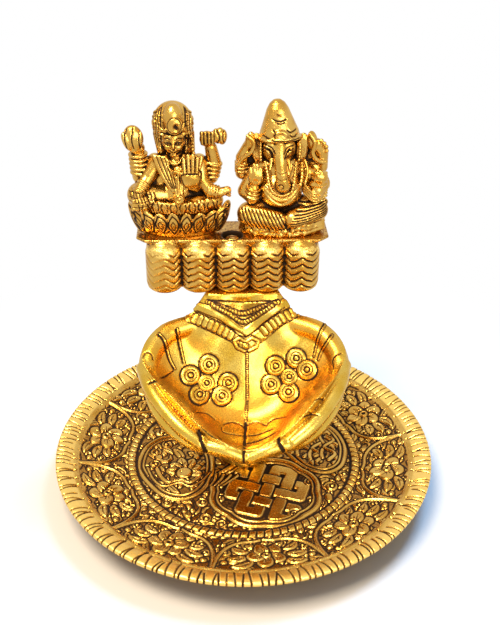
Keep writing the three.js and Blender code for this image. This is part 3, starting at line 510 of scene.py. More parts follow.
class Field:
    """A solid as signed distances in millimetres, negative inside."""

    FAR = 3.0
    MARGIN = 1.5
    # How far hollows are felt for, and how much each reach counts. The shorter reaches find crevices where
    # patina gathers, and the longest darkens broad recesses as painted shade
    HOLLOWS = ((0.5, 2.4), (1.1, 1.6), (2.2, 1.5))

    def __init__(self, low, high, step):
        self.low, self.step = np.array(low, float), step
        counts = np.ceil((np.array(high) - self.low) / step).astype(int) + 1
        self.axes = [self.low[k] + step * np.arange(counts[k]) for k in range(3)]
        self.d = np.full(counts, self.FAR, np.float32)

    def grid(self):
        return np.meshgrid(*self.axes, indexing="ij", sparse=True)

    def window(self, low, high, reach):
        """The part of the grid round a box, and the coordinates there."""
        spans = tuple(slice(int(np.searchsorted(axis, a - reach)), int(np.searchsorted(axis, b + reach)))
                      for axis, a, b in zip(self.axes, low, high))
        near = (axis[span] for axis, span in zip(self.axes, spans))
        return spans, np.meshgrid(*near, indexing="ij", sparse=True)

    def local(self, centre, low, high, tilt, blend):
        """The grid near a shape, in the shape's own axes."""
        at, (x, y, z) = self.window(centre + low, centre + high, self.MARGIN + blend)
        turn = turned_by(tilt)
        x, y, z = x - centre[0], y - centre[1], z - centre[2]
        return at, [x * turn[0, k] + y * turn[1, k] + z * turn[2, k] for k in range(3)]

    def put(self, at, d, blend, cut=False):
        """Adds a shape, or cuts it away, with a rounded junction."""
        have = self.d[at]
        if cut:
            share = np.clip(0.5 + 0.5 * (d + have) / blend, 0, 1)
            new = -(d * (1 - share) - have * share - blend * share * (1 - share))
        else:
            share = np.clip(0.5 + 0.5 * (d - have) / blend, 0, 1)
            new = d * (1 - share) + have * share - blend * share * (1 - share)
        self.d[at] = new

    def keep(self, outside):
        """Cuts away everything where a distance is positive."""
        self.d = np.maximum(self.d, outside)

    def ball(self, centre, radii, tilt=(0, 0, 0), blend=0.4, cut=False):
        """A ball, or an egg with three radii."""
        centre, radii = np.array(centre, float), np.array(radii, float)
        reach = np.full(3, radii.max())
        at, sides = self.local(centre, -reach, reach, tilt, blend)
        near = np.sqrt(sum((side / radius) ** 2 for side, radius in zip(sides, radii)))
        far = np.sqrt(sum((side / radius**2) ** 2 for side, radius in zip(sides, radii)))
        self.put(at, near * (near - 1) / np.maximum(far, 1e-6), blend, cut)

    def limb(self, points, radii, blend=0.4, cut=False):
        """A round rod through points, with a radius at each or one at either end."""
        points = np.asarray(points, float)
        radii = np.linspace(*radii, len(points)) if len(radii) == 2 else np.asarray(radii, float)
        at, (x, y, z) = self.window(points.min(0), points.max(0), radii.max() + self.MARGIN + blend)
        best = np.inf
        for a, b, first, last in zip(points, points[1:], radii, radii[1:]):
            ax, ay, az = b - a
            u, v, w = x - a[0], y - a[1], z - a[2]
            t = np.clip((u * ax + v * ay + w * az) / max((b - a) @ (b - a), TINY), 0, 1)
            away = np.sqrt((u - t * ax) ** 2 + (v - t * ay) ** 2 + (w - t * az) ** 2)
            best = np.minimum(best, away - (first + (last - first) * t))
        self.put(at, best, blend, cut)

    def tube(self, points, radii, blend, steps=5):
        """A round rod along a smooth curve, with a radius at each point or one at either end."""
        line = curve(points, steps)
        if len(radii) > 2:
            radii = np.interp(np.linspace(0, len(radii) - 1, len(line)), range(len(radii)), radii)
        self.limb(line, radii, blend)

    def ring(self, centre, radii, thick, tilt=(0, 0, 0), beads=0, blend=0.2):
        """A hoop, round or oval; with beads it swells and narrows along its length."""
        centre = np.array(centre, float)
        reach = np.full(3, max(radii) + thick)
        at, (u, v, w) = self.local(centre, -reach, reach, tilt, blend)
        angle = np.arctan2(v / radii[1], u / radii[0])
        away = np.sqrt((u - radii[0] * np.cos(angle)) ** 2 + (v - radii[1] * np.sin(angle)) ** 2 + w**2)
        swell = thick * (0.72 + 0.28 * np.cos(beads * angle)) if beads else thick
        self.put(at, away - swell, blend)

    def slab(self, outline, low, high, blend, corner):
        """A flat shape: an outline in x and y between two heights."""
        outline = np.asarray(outline, float)
        at, (x, y, z) = self.window((*outline.min(0), low), (*outline.max(0), high), 1.6 + blend)
        flat = outline_distance(outline, x, y) + corner
        deep = np.abs(z - (low + high) / 2) - (high - low) / 2 + corner
        beyond = np.sqrt(np.maximum(flat, 0) ** 2 + np.maximum(deep, 0) ** 2)
        d = np.minimum(np.maximum(flat, deep), 0) + beyond
        self.put(at, d - corner, blend)

    def turned(self, centre, profile, squash=1.0, tilt=(0, 0, 0), blend=0.3, cut=False):
        """A shape turned about an upright axis from radii and heights; squash narrows it front to back."""
        centre, profile = np.array(centre, float), np.asarray(profile, float)
        if any(tilt):
            high = np.full(3, np.hypot(*np.abs(profile).max(0)))
            low = -high
        else:
            wide = profile[:, 0].max()
            low = np.array([-wide, -wide, profile[:, 1].min()])
            high = np.array([wide, wide, profile[:, 1].max()])
        at, (u, v, w) = self.local(centre, low, high, tilt, blend)
        self.put(at, outline_distance(profile, np.hypot(u, v / squash), w) * max(squash, 0.6), blend, cut)

    def garland(self, points, thick, pitch):
        """Beads along a curve."""
        for place, _ in spaced(points, 6, pitch):
            self.ball(place, (thick, thick, thick), blend=0.15)

    def sample(self, values, points):
        """Values of a grid array at scattered points."""
        place = (points - self.low) / self.step
        base = np.clip(place.astype(int), 0, np.array(values.shape) - 2)
        part = np.clip(place - base, 0, 1)
        total = 0.0
        for i, j, k in np.ndindex(2, 2, 2):
            share = np.abs(1 - i - part[:, 0]) * np.abs(1 - j - part[:, 1]) * np.abs(1 - k - part[:, 2])
            total = total + share * values[base[:, 0] + i, base[:, 1] + j, base[:, 2] + k]
        return total

    def surface(self):
        """The solid's skin: points, four-cornered faces, outward normals and how hollow each point lies."""
        grid = openvdb.FloatGrid(self.FAR)
        grid.copyFromArray(np.clip(self.d, -self.FAR, self.FAR))
        points, faces = grid.convertToQuads(isovalue=0)
        points = points * self.step + self.low
        nudges = np.eye(3) * self.step
        slopes = [self.sample(self.d, points + nudge) - self.sample(self.d, points - nudge)
                  for nudge in nudges]
        normals = np.stack(slopes, 1)
        normals /= np.maximum(np.linalg.norm(normals, axis=1, keepdims=True), TINY)
        hollow = 0.0
        for reach, weight in self.HOLLOWS:
            near = np.clip(self.d, -1.3 * reach, 1.3 * reach)
            cells = max(1, round(reach / self.step))
            hollow = hollow - weight * self.sample(blurred(near, cells), points) / reach
        return points, faces, normals, hollow


# Plate: a turned dish with a chased floor, a ribbed ring, a border of ten arches and a notched rim

plate_high = node_box("plate")[1]
RIM_RADIUS = plate_high[0]
RIM_TOP = plate_high[2]
RIM_INNER = 56.5
RIM_CREST = RIM_RADIUS - 1.2
FOOT_HEIGHT = 3.0
FOOT_INNER, FOOT_OUTER = 33.5, 36.5
FLOOR_LEVEL = node_box("hands_bowl")[0][2]
FLANGE_LEVEL = FLOOR_LEVEL + 3.4
HOLE_RADIUS = 2.3
BOSS_RADIUS = 10.5
ROPE_INNER, ROPE_OUTER = 37.0, 40.0
ROPE_MIDDLE = (ROPE_INNER + ROPE_OUTER) / 2
ROPE_RIBS = 96
SHEET_THICKNESS = 2.0
RELIEF = 0.6
CHASED_DEPTH = 0.15
CUT_DEPTH = 0.45
RIM_CUTS = 172
ARCHES = 10
ARCH_TURN = math.radians(-84)
ARCH_RADIUS = 48.5


def plate_level(radius):
    """Height of the plate's upper side without its ornament."""
    flange = (radius - ROPE_OUTER) / (RIM_INNER - ROPE_OUTER)
    level = FLOOR_LEVEL + (FLANGE_LEVEL - FLOOR_LEVEL) * np.clip(flange, 0, 1) ** 1.15
    up = np.clip((radius - RIM_INNER) / (RIM_CREST - RIM_INNER), 0, 1)
    return level + (RIM_TOP - FLANGE_LEVEL) * np.sin(up * math.pi / 2)


def lobed(centre, radius_x, radius_y, depth, turn):
    """An oval with eight round lobes."""
    angles = np.linspace(0, 2 * math.pi, 96)
    rays = np.stack([np.cos(angles), np.sin(angles)], 1)
    swell = 1 - depth * (1 - np.abs(np.cos(4 * (angles - math.radians(turn)))))
    return centre + rays * swell[:, None] * (radius_x, radius_y)


def shrink(outline, amount):
    """The outline moved in towards its middle by an amount."""
    middle = outline.mean(0)
    away = outline - middle
    return middle + away * (1 - amount / np.linalg.norm(away, axis=1, keepdims=True))


def frame_lines(draw, outline, width=1.5):
    """A broad band with a thin one inside it, over cleared ground."""
    draw.stroke(shrink(outline, width * 0.5 + 0.95), 0.75, round_over=0.3)
    draw.stroke(outline, width, round_over=0.7)


# Curls on the floor: x, y, radius, start angle and turns
FLOOR_CURLS = [
    (-25.4, -23.4, 1.9, 30, 1.3), (-29.2, -19.6, 1.5, 90, -1.1), (-14.6, -23.4, 1.9, 100, -1.2),
    (-13.4, -30.2, 2.1, 200, 1.3), (-8.2, -33.0, 1.6, 330, -1.2), (33.0, -10.8, 1.7, 250, 1.3),
    (28.4, -17.0, 2.2, 160, -1.3), (24.0, -24.6, 1.9, 300, 1.2), (19.6, -30.0, 1.5, 60, -1.0),
    (9.4, 33.0, 2.0, 90, 1.2), (15.4, 28.6, 2.2, 300, -1.2), (22.0, 24.6, 2.0, 230, -1.2),
    (-25.0, 17.0, 2.2, 120, 1.2), (-22.4, 24.0, 2.1, 200, 1.2), (-17.0, 31.0, 1.6, 0, -1.2),
]
LOTUS_CURLS = [
    (-30.6, -3.8, 1.9, 300, 1.2), (-30.6, 2.6, 2.0, 60, -1.2), (-26.4, 6.6, 1.9, 140, 1.1),
    (-20.6, 6.8, 1.8, 20, 1.2), (-15.4, 2.4, 1.6, 320, -1.1),
]
KNOT_CURLS = [
    (-8.6, -21.5, 2.2, 60, 1.1), (-8.8, -15.5, 1.9, 200, -1.0), (21.5, -14.6, 1.9, 100, 1.1),
    (19.4, -8.4, 1.9, 0, -1.0), (20.9, -22.8, 1.6, 250, 1.0), (-1.4, -31.0, 1.2, 160, 0.9),
    (15.0, -29.4, 1.2, 0, 0.9), (-6.2, -27.2, 1.4, 90, -0.9),
]
LOTUS_FRAME = closed([(-36, -3.4), (-34.4, -9.2), (-31, -14.8), (-27, -19.4), (-21.8, -21.4), (-16.4, -19.4),
                      (-12.6, -14.2), (-10.9, -6.5), (-11.6, 1.5), (-15.6, 8), (-21.6, 11), (-28.6, 10.4),
                      (-34, 5.2)])
WAVE_FRAME = closed([(34.8, -2.2), (32.2, -7.4), (27, -9.8), (20.8, -7.0), (15.6, 0.4), (12.8, 8), (14.5, 15),
                     (20, 19.6), (28, 18.6), (33.6, 12.4), (35.8, 5)])
LOTUS = np.array([-20.4, -7.8])
LOTUS_LEAVES = [(-14, 6), (24, 6), (62, 7), (100, 7), (138, 6), (176, 6)]
LOTUS_WATER = np.array([(-9.2, 1.6), (-7.6, -2.6), (-5.0, -5.4), (-1.2, -4.2), (1.6, -5.6), (4.6, -3.4),
                        (6.4, -0.6)])
BACK_FLOWER = (-6.6, 22.2)
KNOT_FIELD = np.array([6.4, -18.6])
KNOT_CENTRE = np.array([7.0, -18.2])
KNOT_REACH = 16.2
KNOT_TURN = -20
KNOT_PITCH, KNOT_WIDTH, KNOT_GAP = 5.6, 3.9, 0.32
KNOT_PATH = [(-2, 0), (2, 0), (2, 1), (-2, 1), (-2, 2), (-1, 2), (-1, -2), (0, -2), (0, 2), (1, 2),
             (1, -2), (2, -2), (2, -1), (-2, -1), (-2, 0)]


def endless_knot(draw):
    """An endless knot of one band over and under itself."""
    across = direction(KNOT_TURN)
    up = np.array([-across[1], across[0]])
    inside = np.flatnonzero(np.hypot(draw.u - KNOT_CENTRE[0], draw.v - KNOT_CENTRE[1]) < KNOT_REACH)
    x, y = draw.u[inside] - KNOT_CENTRE[0], draw.v[inside] - KNOT_CENTRE[1]
    local = Drawing(x * across[0] + y * across[1], x * up[0] + y * up[1])
    path = np.array(KNOT_PATH, float) * KNOT_PITCH
    half = KNOT_WIDTH / 2
    depth = local.depth(np.arange(len(inside)), path, np.full(len(path), half))
    for i in (-1, 0, 1):
        for j in (-1, 0, 1):
            way, cross = np.array([(0, 1), (1, 0)] if (i + j) % 2 else [(1, 0), (0, 1)])
            for side in (-1, 1):
                start = np.array([i, j]) * KNOT_PITCH + way * side * (half + KNOT_GAP)
                local.cut([start - cross * half, start + cross * half], 0.62)
    draw.raised[inside] = smooth(depth, -0.12, 0.45)
    draw.groove[inside] = local.groove
    draw.dark[inside] = smooth(depth, 0.1, -0.15) * (0.35 + 0.65 * smooth(depth, -1.0, -0.5))


def lotus_medallion(draw):
    frame_lines(draw, LOTUS_FRAME)
    for size, width in ((1.0, 1.5), (1.351, 0.9)):
        draw.stroke(curve(LOTUS + LOTUS_WATER * size), width, width * 0.8)
    for turn, length in LOTUS_LEAVES:
        draw.leaf(LOTUS + direction(turn) * 1.2, LOTUS + direction(turn) * length, 3.6)
    draw.disc(LOTUS + (0, -0.8), 2.6)
    draw.dot(LOTUS + (-1.0, -0.6), 0.3)
    curls(draw, LOTUS_CURLS, 1.2)


def wave_medallion(draw):
    frame_lines(draw, WAVE_FRAME)
    for k in range(7):
        sway = 1.2 * (-1) ** k
        start = np.array([16.6 + 2.1 * k, 1.0 - 1.2 * k + (3.0 if k > 4 else 0)])
        steps = [(0, 0), (1.4 + sway, 3.4), (0.4 - sway, 7.0), (1.8 + sway, 10.6), (0.6, 13.4)]
        draw.stroke(curve(start + steps), 1.5, 0.9)


def knot_medallion(draw):
    cleared = np.hypot((draw.u - KNOT_FIELD[0]) / 17.4, (draw.v - KNOT_FIELD[1]) / 15.8) < 1
    draw.raised[cleared] = 0
    draw.groove[cleared] = 0
    endless_knot(draw)
    curls(draw, KNOT_CURLS, 1.1)
    frame_lines(draw, lobed(KNOT_FIELD, 18.2, 16.6, 0.055, -70), 1.8)
    for k in range(4):
        line = [(-9.6 + 2.4 * k, -9.6 - 0.3 * k), (-10.2 + 2.0 * k, -12.4), (-11.6 + 1.4 * k, -15.2)]
        draw.stroke(curve(line), 1.1, 0.7)


def floor_ornament(draw):
    """Four lobed medallions with traditional lucky signs, and scrolls between them."""
    foliage(draw, (-38, -38), (38, 38), 3.7, 3, 1.75)
    curls(draw, FLOOR_CURLS, 1.4)
    flower(draw, (-20.0, -27.0), 3.0, 6)
    lotus_medallion(draw)
    wave_medallion(draw)
    frame_lines(draw, lobed(BACK_FLOWER, 15.4, 13.2, 0.06, 107))
    flower(draw, BACK_FLOWER, 9.2, 8, 17)
    knot_medallion(draw)


ARCH_LINE = [(15.3, 16.2), (14.9, 11.4), (13.8, 7.2), (11.4, 3.8), (7.6, 1.9), (3.4, 1.5), (0, 0.8)]


def arch_ornament(draw, shift, seed):
    """One border arch: an ogee line round a flower with leaves and curls. shift and seed vary it."""
    foliage(draw, (-17, -0.5), (17, 17), 3.4, seed, 1.65)
    for side in (-1, 1):
        curl(draw, (side * 9.4, 4.6), 1.7, 90 - side * 60, side * 1.1, 1.2)
        curl(draw, (side * 12.2, 8.2 + shift), 1.5, 200, side * 1.0, 1.1)
        curl(draw, (side * 16.6, 2.6), 1.3, 90 + side * 80, side * 1.0, 1.0)
        draw.leaf((side * 5.8, 7.0), (side * 10.8, 5.6 + shift), 2.9, side * 0.12)
        draw.leaf((side * 6.2, 9.6), (side * 11.8, 10.6), 3.0, side * 0.1)
        draw.leaf((side * 4.6, 12.0), (side * 10.4, 14.6), 2.9, side * 0.12)
        draw.leaf((side * 1.8, 4.6), (side * 6.6, 3.5), 2.2, side * 0.1)
        draw.disc((side * 12.4, 12.6), 1.0)
        draw.stroke(curve(np.array(ARCH_LINE) * (side, 1)), 1.5, 1.1, round_over=0.6)
    flower(draw, (0.3 * shift, 9.0), 5.2 + 0.4 * shift, 6 if shift > 0 else 5, math.degrees(shift))


def plate_drawing(x, y):
    """Over points of the plate: how far ornament is raised (0 to 1), its grooves and its dark ground."""
    radius = np.hypot(x, y)
    angle = np.arctan2(y, x)
    raised, groove, dark = np.zeros((3, len(x)))

    at = np.flatnonzero(radius < ROPE_INNER)
    draw = Drawing(x[at], y[at])
    floor_ornament(draw)
    inner = smooth(radius[at], ROPE_INNER - 0.3, ROPE_INNER - 0.9)
    raised[at], groove[at], dark[at] = draw.raised * inner, draw.groove, np.maximum(draw.dark, 1 - inner)

    at = np.flatnonzero((radius >= ROPE_INNER) & (radius <= ROPE_OUTER))
    across = (radius[at] - ROPE_MIDDLE) / (ROPE_OUTER - ROPE_INNER) * 2
    rib = np.abs(((angle[at] + 0.08 * across / 10) * ROPE_RIBS / (2 * math.pi)) % 1 - 0.5) * 2
    raised[at] = np.sqrt(np.clip(1 - across**2, 0, 1)) * 1.5
    groove[at] = np.maximum(smooth(rib, 0.62, 0.95), smooth(np.abs(across), 0.72, 0.95))

    at = np.flatnonzero((radius > ROPE_OUTER) & (radius < RIM_INNER + 1))
    pitch = 2 * math.pi / ARCHES
    turns = (angle[at] - ARCH_TURN) / pitch
    number = np.round(turns).astype(int) % ARCHES
    u = (turns - np.round(turns)) * pitch * ARCH_RADIUS
    v = radius[at] - ROPE_OUTER
    edge = smooth(v, RIM_INNER - ROPE_OUTER - 0.9, RIM_INNER - ROPE_OUTER - 0.3)
    for odd, shift in ((0, -0.7), (1, 0.7)):
        mine = number % 2 == odd
        draw = Drawing(u[mine], v[mine])
        arch_ornament(draw, shift, 11 + odd)
        raised[at[mine]] = np.maximum(draw.raised, edge[mine])
        groove[at[mine]] = draw.groove * (1 - edge[mine])
        dark[at[mine]] = draw.dark * (1 - edge[mine])
    return raised, groove, dark


def rim_cuts(radius, angle):
    """Short uneven cuts across the rim: 1 in a cut, 0 between cuts."""
    rng = np.random.default_rng(7)
    places = 2 * math.pi * (np.arange(RIM_CUTS) + rng.uniform(-0.3, 0.3, RIM_CUTS)) / RIM_CUTS
    starts = RIM_INNER + rng.uniform(-0.4, 2.6, RIM_CUTS)
    depths = rng.uniform(0.55, 1.0, RIM_CUTS)
    tilts = rng.uniform(-0.004, 0.004, RIM_CUTS)
    cut = np.zeros(len(radius))
    for place, start, depth, tilt in zip(places, starts, depths, tilts):
        turn = (angle - place - tilt * (radius - RIM_RADIUS) + math.pi) % (2 * math.pi) - math.pi
        away = np.abs(turn) * radius
        near = away < 0.7
        line = smooth(away[near], 0.42, 0.1) * smooth(radius[near], start, start + 0.5) * depth
        cut[near] = np.maximum(cut[near], line)
    return cut


def zipped(first, n, second, m):
    """Triangles that join two rings of n and m points, numbered from first and second."""
    mids = np.concatenate([(np.arange(n) + 0.5) / n, (np.arange(m) + 0.5) / m])
    order = np.argsort(mids, kind="stable")
    on_first = order < n
    i = np.cumsum(on_first) - on_first
    j = np.cumsum(~on_first) - ~on_first
    a, b = first + i % n, second + j % m
    far = np.where(on_first, first + (i + 1) % n, second + (j + 1) % m)
    return np.stack([a, b, far], 1)


# Bands of the upper side: inner and outer radius, spacing of rings, points in a ring
BANDS = [
    (HOLE_RADIUS, 9.2, 0.5, 120), (9.2, 13, 0.25, 340), (13, 18, 0.25, 480), (18, 26, 0.24, 680),
    (26, ROPE_INNER, 0.24, 960), (ROPE_INNER, 47, 0.24, 1200), (47, RIM_INNER, 0.24, 1440),
    (RIM_INNER, RIM_RADIUS - 0.7, 0.4, 2400),
]
# The rim's edge: how far each ring lies inside the rim's radius and below its top
EDGE = [(0.7, 0.0), (0.3, 0.12), (0.06, 0.4), (0.0, 0.8), (0.1, 1.3), (0.5, 1.75)]
EDGE_POINTS = 2400
# The underside from the rim to the hole: radius, height, points in a ring
UNDERSIDE = [
    (RIM_CREST, RIM_TOP - 2.0, 1200), (60.0, 7.9, 600), (RIM_INNER, FLANGE_LEVEL - SHEET_THICKNESS, 480),
    (ROPE_OUTER, FOOT_HEIGHT, 480), (FOOT_OUTER + 0.4, FOOT_HEIGHT, 480),
    (FOOT_OUTER, FOOT_HEIGHT - 0.4, 480), (FOOT_OUTER, 0.4, 480), (FOOT_OUTER - 0.3, 0.0, 480),
    (FOOT_INNER + 0.3, 0.0, 480), (FOOT_INNER, 0.4, 480),
    (FOOT_INNER, FOOT_HEIGHT - 0.4, 480), (FOOT_INNER - 0.4, FOOT_HEIGHT, 480), (20.0, FOOT_HEIGHT, 240),
    (10.0, FOOT_HEIGHT, 120), (HOLE_RADIUS, FOOT_HEIGHT, 120),
]


def make_plate(material):
    rings = []
    for first, last, step, count in BANDS:
        steps = max(1, round((last - first) / step))
        radii = np.linspace(first, last, steps, endpoint=False)
        rings += [(radius, plate_level(radius), count) for radius in radii]
    top_rings = len(rings)
    rings += [(RIM_RADIUS - inward, RIM_TOP - drop, EDGE_POINTS) for inward, drop in EDGE] + UNDERSIDE
    counts = np.array([count for _, _, count in rings])
    starts = np.concatenate([[0], np.cumsum(counts)[:-1]])
    points = []
    for radius, level, count in rings:
        angle = np.arange(count) * 2 * math.pi / count
        points.append(np.stack([radius * np.cos(angle), radius * np.sin(angle), np.full(count, level)], 1))
    points = np.vstack(points)
    top = starts[top_rings]
    radius, angle = np.hypot(points[:, 0], points[:, 1]), np.arctan2(points[:, 1], points[:, 0])
    raised, groove, dark = plate_drawing(points[:top, 0], points[:top, 1])
    chased = (radius[:top] < RIM_INNER) & (radius[:top] > BOSS_RADIUS)
    points[:top, 2] += RELIEF * raised * (1 - 0.7 * groove) - CHASED_DEPTH * chased
    patina_and_shading = np.zeros(len(points))
    ground = 1 - np.minimum(raised * 1.5, 1)
    patina_and_shading[:top] = np.clip(0.42 * ground + 0.7 * dark + groove, 0, 1)
    rim_end = starts[top_rings + len(EDGE)]
    on_rim = np.flatnonzero(radius[:rim_end] > RIM_INNER)
    out = radius[on_rim]
    cut = rim_cuts(out, angle[on_rim])
    points[on_rim, 2] -= CUT_DEPTH * cut
    at_edge = smooth(out, RIM_RADIUS - 1.5, RIM_RADIUS - 0.4)
    points[on_rim, :2] *= (1 - 0.35 * cut * at_edge / RIM_RADIUS)[:, None]
    # The rim's top is painted bright as wear together with a painted highlight; its cuts stay dark
    worn_sheen = WORN_SHEEN * smooth(out, RIM_INNER + 0.5, RIM_INNER + 2.0) * (1 - cut / 0.3)
    patina_and_shading[on_rim] = np.where(cut > 0.3, cut, worn_sheen)
    loop = list(zip(starts, counts))
    faces = [zipped(a, n, b, m) for (a, n), (b, m) in zip(loop, loop[1:] + loop[:1])]
    make_piece("plate_dish", points, np.vstack(faces), patina_and_shading, material, "plate")


# Hands: two open palms side by side that form a bowl, on a boss

HAND_STEP = 0.36
# Heights of the palms' upper side: along the middle (y and z), then round the rim and inside it (x, y, z)
PALM_MIDDLE = [(-24.5, 27.2), (-18, 22.8), (-10, 20.3), (-3, 20), (2.5, 22.5), (7, 30.5), (11.7, 39.9),
               (16.5, 48.5), (21.2, 57)]
PALM_RIM = [(5.3, -23.1, 28.3), (9.9, -20.8, 30), (13.6, -17.3, 31.7), (17, -13.2, 33.7), (21.5, -8.2, 36.1),
            (26, -3.5, 38.3), (29.5, 1, 40.5), (31, 6, 43), (30, 11, 45.5), (26.5, 15, 47.5), (22, 17.5, 49),
            (17, 19, 50.5), (12, 20.5, 56)]
PALM_INSIDE = [(8, -14, 22.5), (8, -4, 21.3), (15, -5, 26), (15, 2, 26.5), (22, 0, 32.5), (15, 7, 31),
               (22, 8, 37), (8, 8, 31), (8, 14, 43), (16, 13, 41), (24, 12, 43.5)]
PALM_STIFFNESS = 2.0
PALM_THICKNESS = 4.4
HEEL_THICKNESS = 7
LIP = [(0, -26.5), (5, -26.4), (11, -24.6), (17, -20.6), (22.5, -15.2), (27.5, -9), (31, -3), (33.2, 2),
       (33.2, 7), (31.2, 11.6), (27.2, 15.2), (21.6, 17.8), (15.5, 19.2), (11.4, 21.4), (10.2, 26),
       (9.6, 30.6), (0, 31.2)]
FINGERS = [
    ([(-33, 3, 39.6), (-30.2, -6.4, 38.4), (-25.4, -14.2, 35.4), (-19.8, -20.2, 32.4), (-14.2, -23.8, 29.6)],
     (2.5, 2.6, 2.5, 2.4, 2.1)),
    ([(-31, 0, 35), (-28, -9.4, 32.4), (-22.6, -17.2, 29.8), (-16.4, -22.2, 28.4), (-11, -24.4, 28.6),
      (-6, -25.8, 27.9), (-1.4, -26.4, 25.8)],
     (2.7, 2.6, 2.5, 2.3, 2.2, 2.1, 2)),
    ([(-28.6, 1, 30.5), (-24, -7.4, 27.2), (-17.6, -14.4, 24.8), (-9.6, -19.4, 23.8), (-1.4, -20.8, 22.8)],
     (2.9, 2.8, 2.7, 2.5, 2.3)),
    ([(-24.6, 3, 26), (-19.4, -4.6, 22.6), (-13, -10.4, 20.2), (-7, -13.6, 19), (-1.4, -14.8, 18.4)],
     (2.8, 2.7, 2.6, 2.4, 2.1)),
]
THUMB = [(-17, 18.6, 47), (-25.6, 15, 45.6), (-30.2, 8.6, 43.2), (-31.6, 3, 40.6), (-30.8, -1.4, 38.8)]
THUMB_RADII = (3.4, 3.6, 3.3, 3.1, 2.6)
THUMB_BUMPS = [((-32.2, 7.0, 42.0), (1.5, 2.4, 1.7)), ((-32.4, 0.2, 38.2), (2.0, 2.3, 1.9))]
FOREARM = [(-13.6, 19.4, 43.0), (-9.4, 22.2, 50.6), (-5.8, 25.2, 56)]
FOREARM_RADII = (5.0, 5.8, 5.4)
WRIST_ROLL = [(-11.0, 20.6, 56.8), (11.2, 20.6, 56.8)]
# The boss: radii and heights, about a place behind the middle
BOSS = [(8.5, 5.0), (8.0, 8.0), (9.0, 11.0), (17.0, 23.0)]
BOSS_Y = 2.0
LEDGE = [(-11.6, 20.0), (11.6, 20.0), (11.6, 31.4), (-11.6, 31.4)]
LEDGE_TOP, LEDGE_THICKNESS = 58.0, 3.0


def both(points):
    """Points with their mirror images across x."""
    points = np.asarray(points, float)
    return np.vstack([points, points[points[:, 0] != 0] * (-1, 1, 1)])


def sheet(points, x, y):
    """Heights of a smooth sheet near points, over a grid of x and y."""
    def bend(r2):
        return r2 * np.log(np.maximum(r2, TINY))

    n = len(points)
    system = np.zeros((n + 3, n + 3))
    apart = ((points[:, None, :2] - points[None, :, :2]) ** 2).sum(2)
    system[:n, :n] = bend(apart) + PALM_STIFFNESS * np.eye(n)
    system[:n, n:] = np.column_stack([np.ones(n), points[:, :2]])
    system[n:, :n] = system[:n, n:].T
    weights = np.linalg.solve(system, np.concatenate([points[:, 2], np.zeros(3)]))
    total = weights[n] + weights[n + 1] * x + weights[n + 2] * y
    for (px, py, _), weight in zip(points, weights):
        total = total + weight * bend((x - px) ** 2 + (y - py) ** 2)
    return total


def hands_solid():
    low, high = node_box("hands_bowl")
    field = Field(low - 1.5, high + 1.5, HAND_STEP)
    x, y, z = field.grid()
    flat_x, flat_y = x[:, :, 0], y[:, :, 0]
    palm = sheet(both([(0, y, z) for y, z in PALM_MIDDLE] + PALM_RIM + PALM_INSIDE), flat_x, flat_y)
    slope_x, slope_y = np.gradient(palm, HAND_STEP)
    steep = np.sqrt(1 + slope_x**2 + slope_y**2)[:, :, None]
    above = (z - palm[:, :, None]) / steep
    lip = curve(LIP + [(-u, v) for u, v in LIP[-2:0:-1]], 3, closed=True)
    beyond = outline_distance(lip, flat_x, flat_y)[:, :, None]
    heel = smooth(flat_y, 9, 18) * smooth(np.abs(flat_x), 24, 12)
    thickness = (PALM_THICKNESS + HEEL_THICKNESS * heel)[:, :, None]
    shell = np.maximum(np.maximum(above, -above - thickness), beyond)
    field.d[:] = np.clip(shell, -field.FAR, field.FAR)
    for side in (1, -1):
        flip = (side, 1, 1)
        field.limb(np.array(FOREARM) * flip, FOREARM_RADII, 4.0)
        field.tube(np.array(THUMB) * flip, THUMB_RADII, 0.9, 4)
        for centre, radii in THUMB_BUMPS:
            field.ball(np.array(centre) * flip, radii, blend=0.35)
        for path, radii in FINGERS:
            field.tube(np.array(path) * flip, radii, 0.4, 4)
    field.slab(LEDGE, LEDGE_TOP - LEDGE_THICKNESS, LEDGE_TOP, 0.6, 0.7)
    field.limb(WRIST_ROLL, (1.2, 1.2), 0.2)
    from_axis = np.sqrt(x**2 + (y - BOSS_Y) ** 2)
    for (first, bottom), (last, top) in zip(BOSS, BOSS[1:]):
        share = np.clip((z - bottom) / (top - bottom), 0, 1)
        level = np.maximum(np.maximum(bottom - z, z - top), above + 1 / steep)
        field.put((slice(None),) * 3, np.maximum(from_axis - (first + (last - first) * share), level), 0.4)
    field.keep(np.maximum(low[2] - z, z - high[2]))
    return field


def make_hands(material):
    points, faces, normals, hollow = hands_solid().surface()
    u, v = front_view(points)
    facing = smooth(normals @ np.array(CAMERA_BACK), 0.05, 0.3)
    draw = Drawing((u - HAND_CORNER[0]) / PIXELS_PER_MM, (HAND_CORNER[1] - v) / PIXELS_PER_MM)
    hand_ornament(draw)
    points = points + normals * (facing * (0.45 * draw.raised - 0.35 * draw.groove))[:, None]
    # Patina in hollows with painted shade in the broad ones, dark grooves and ground, and the patches of
    # painted shade
    patina_and_shading = np.clip(0.9 * smooth(hollow, 0.5, 2.2) + facing * (draw.groove + 0.8 * draw.dark), 0, 1)
    make_piece("hands", points, faces, patina_and_shading, material, "hands_bowl", facing * draw.warm_light)


# Ornament on the hands, in pixels of the photograph enlarged HAND_ZOOM times from HAND_CORNER.
# A number before a line is its width

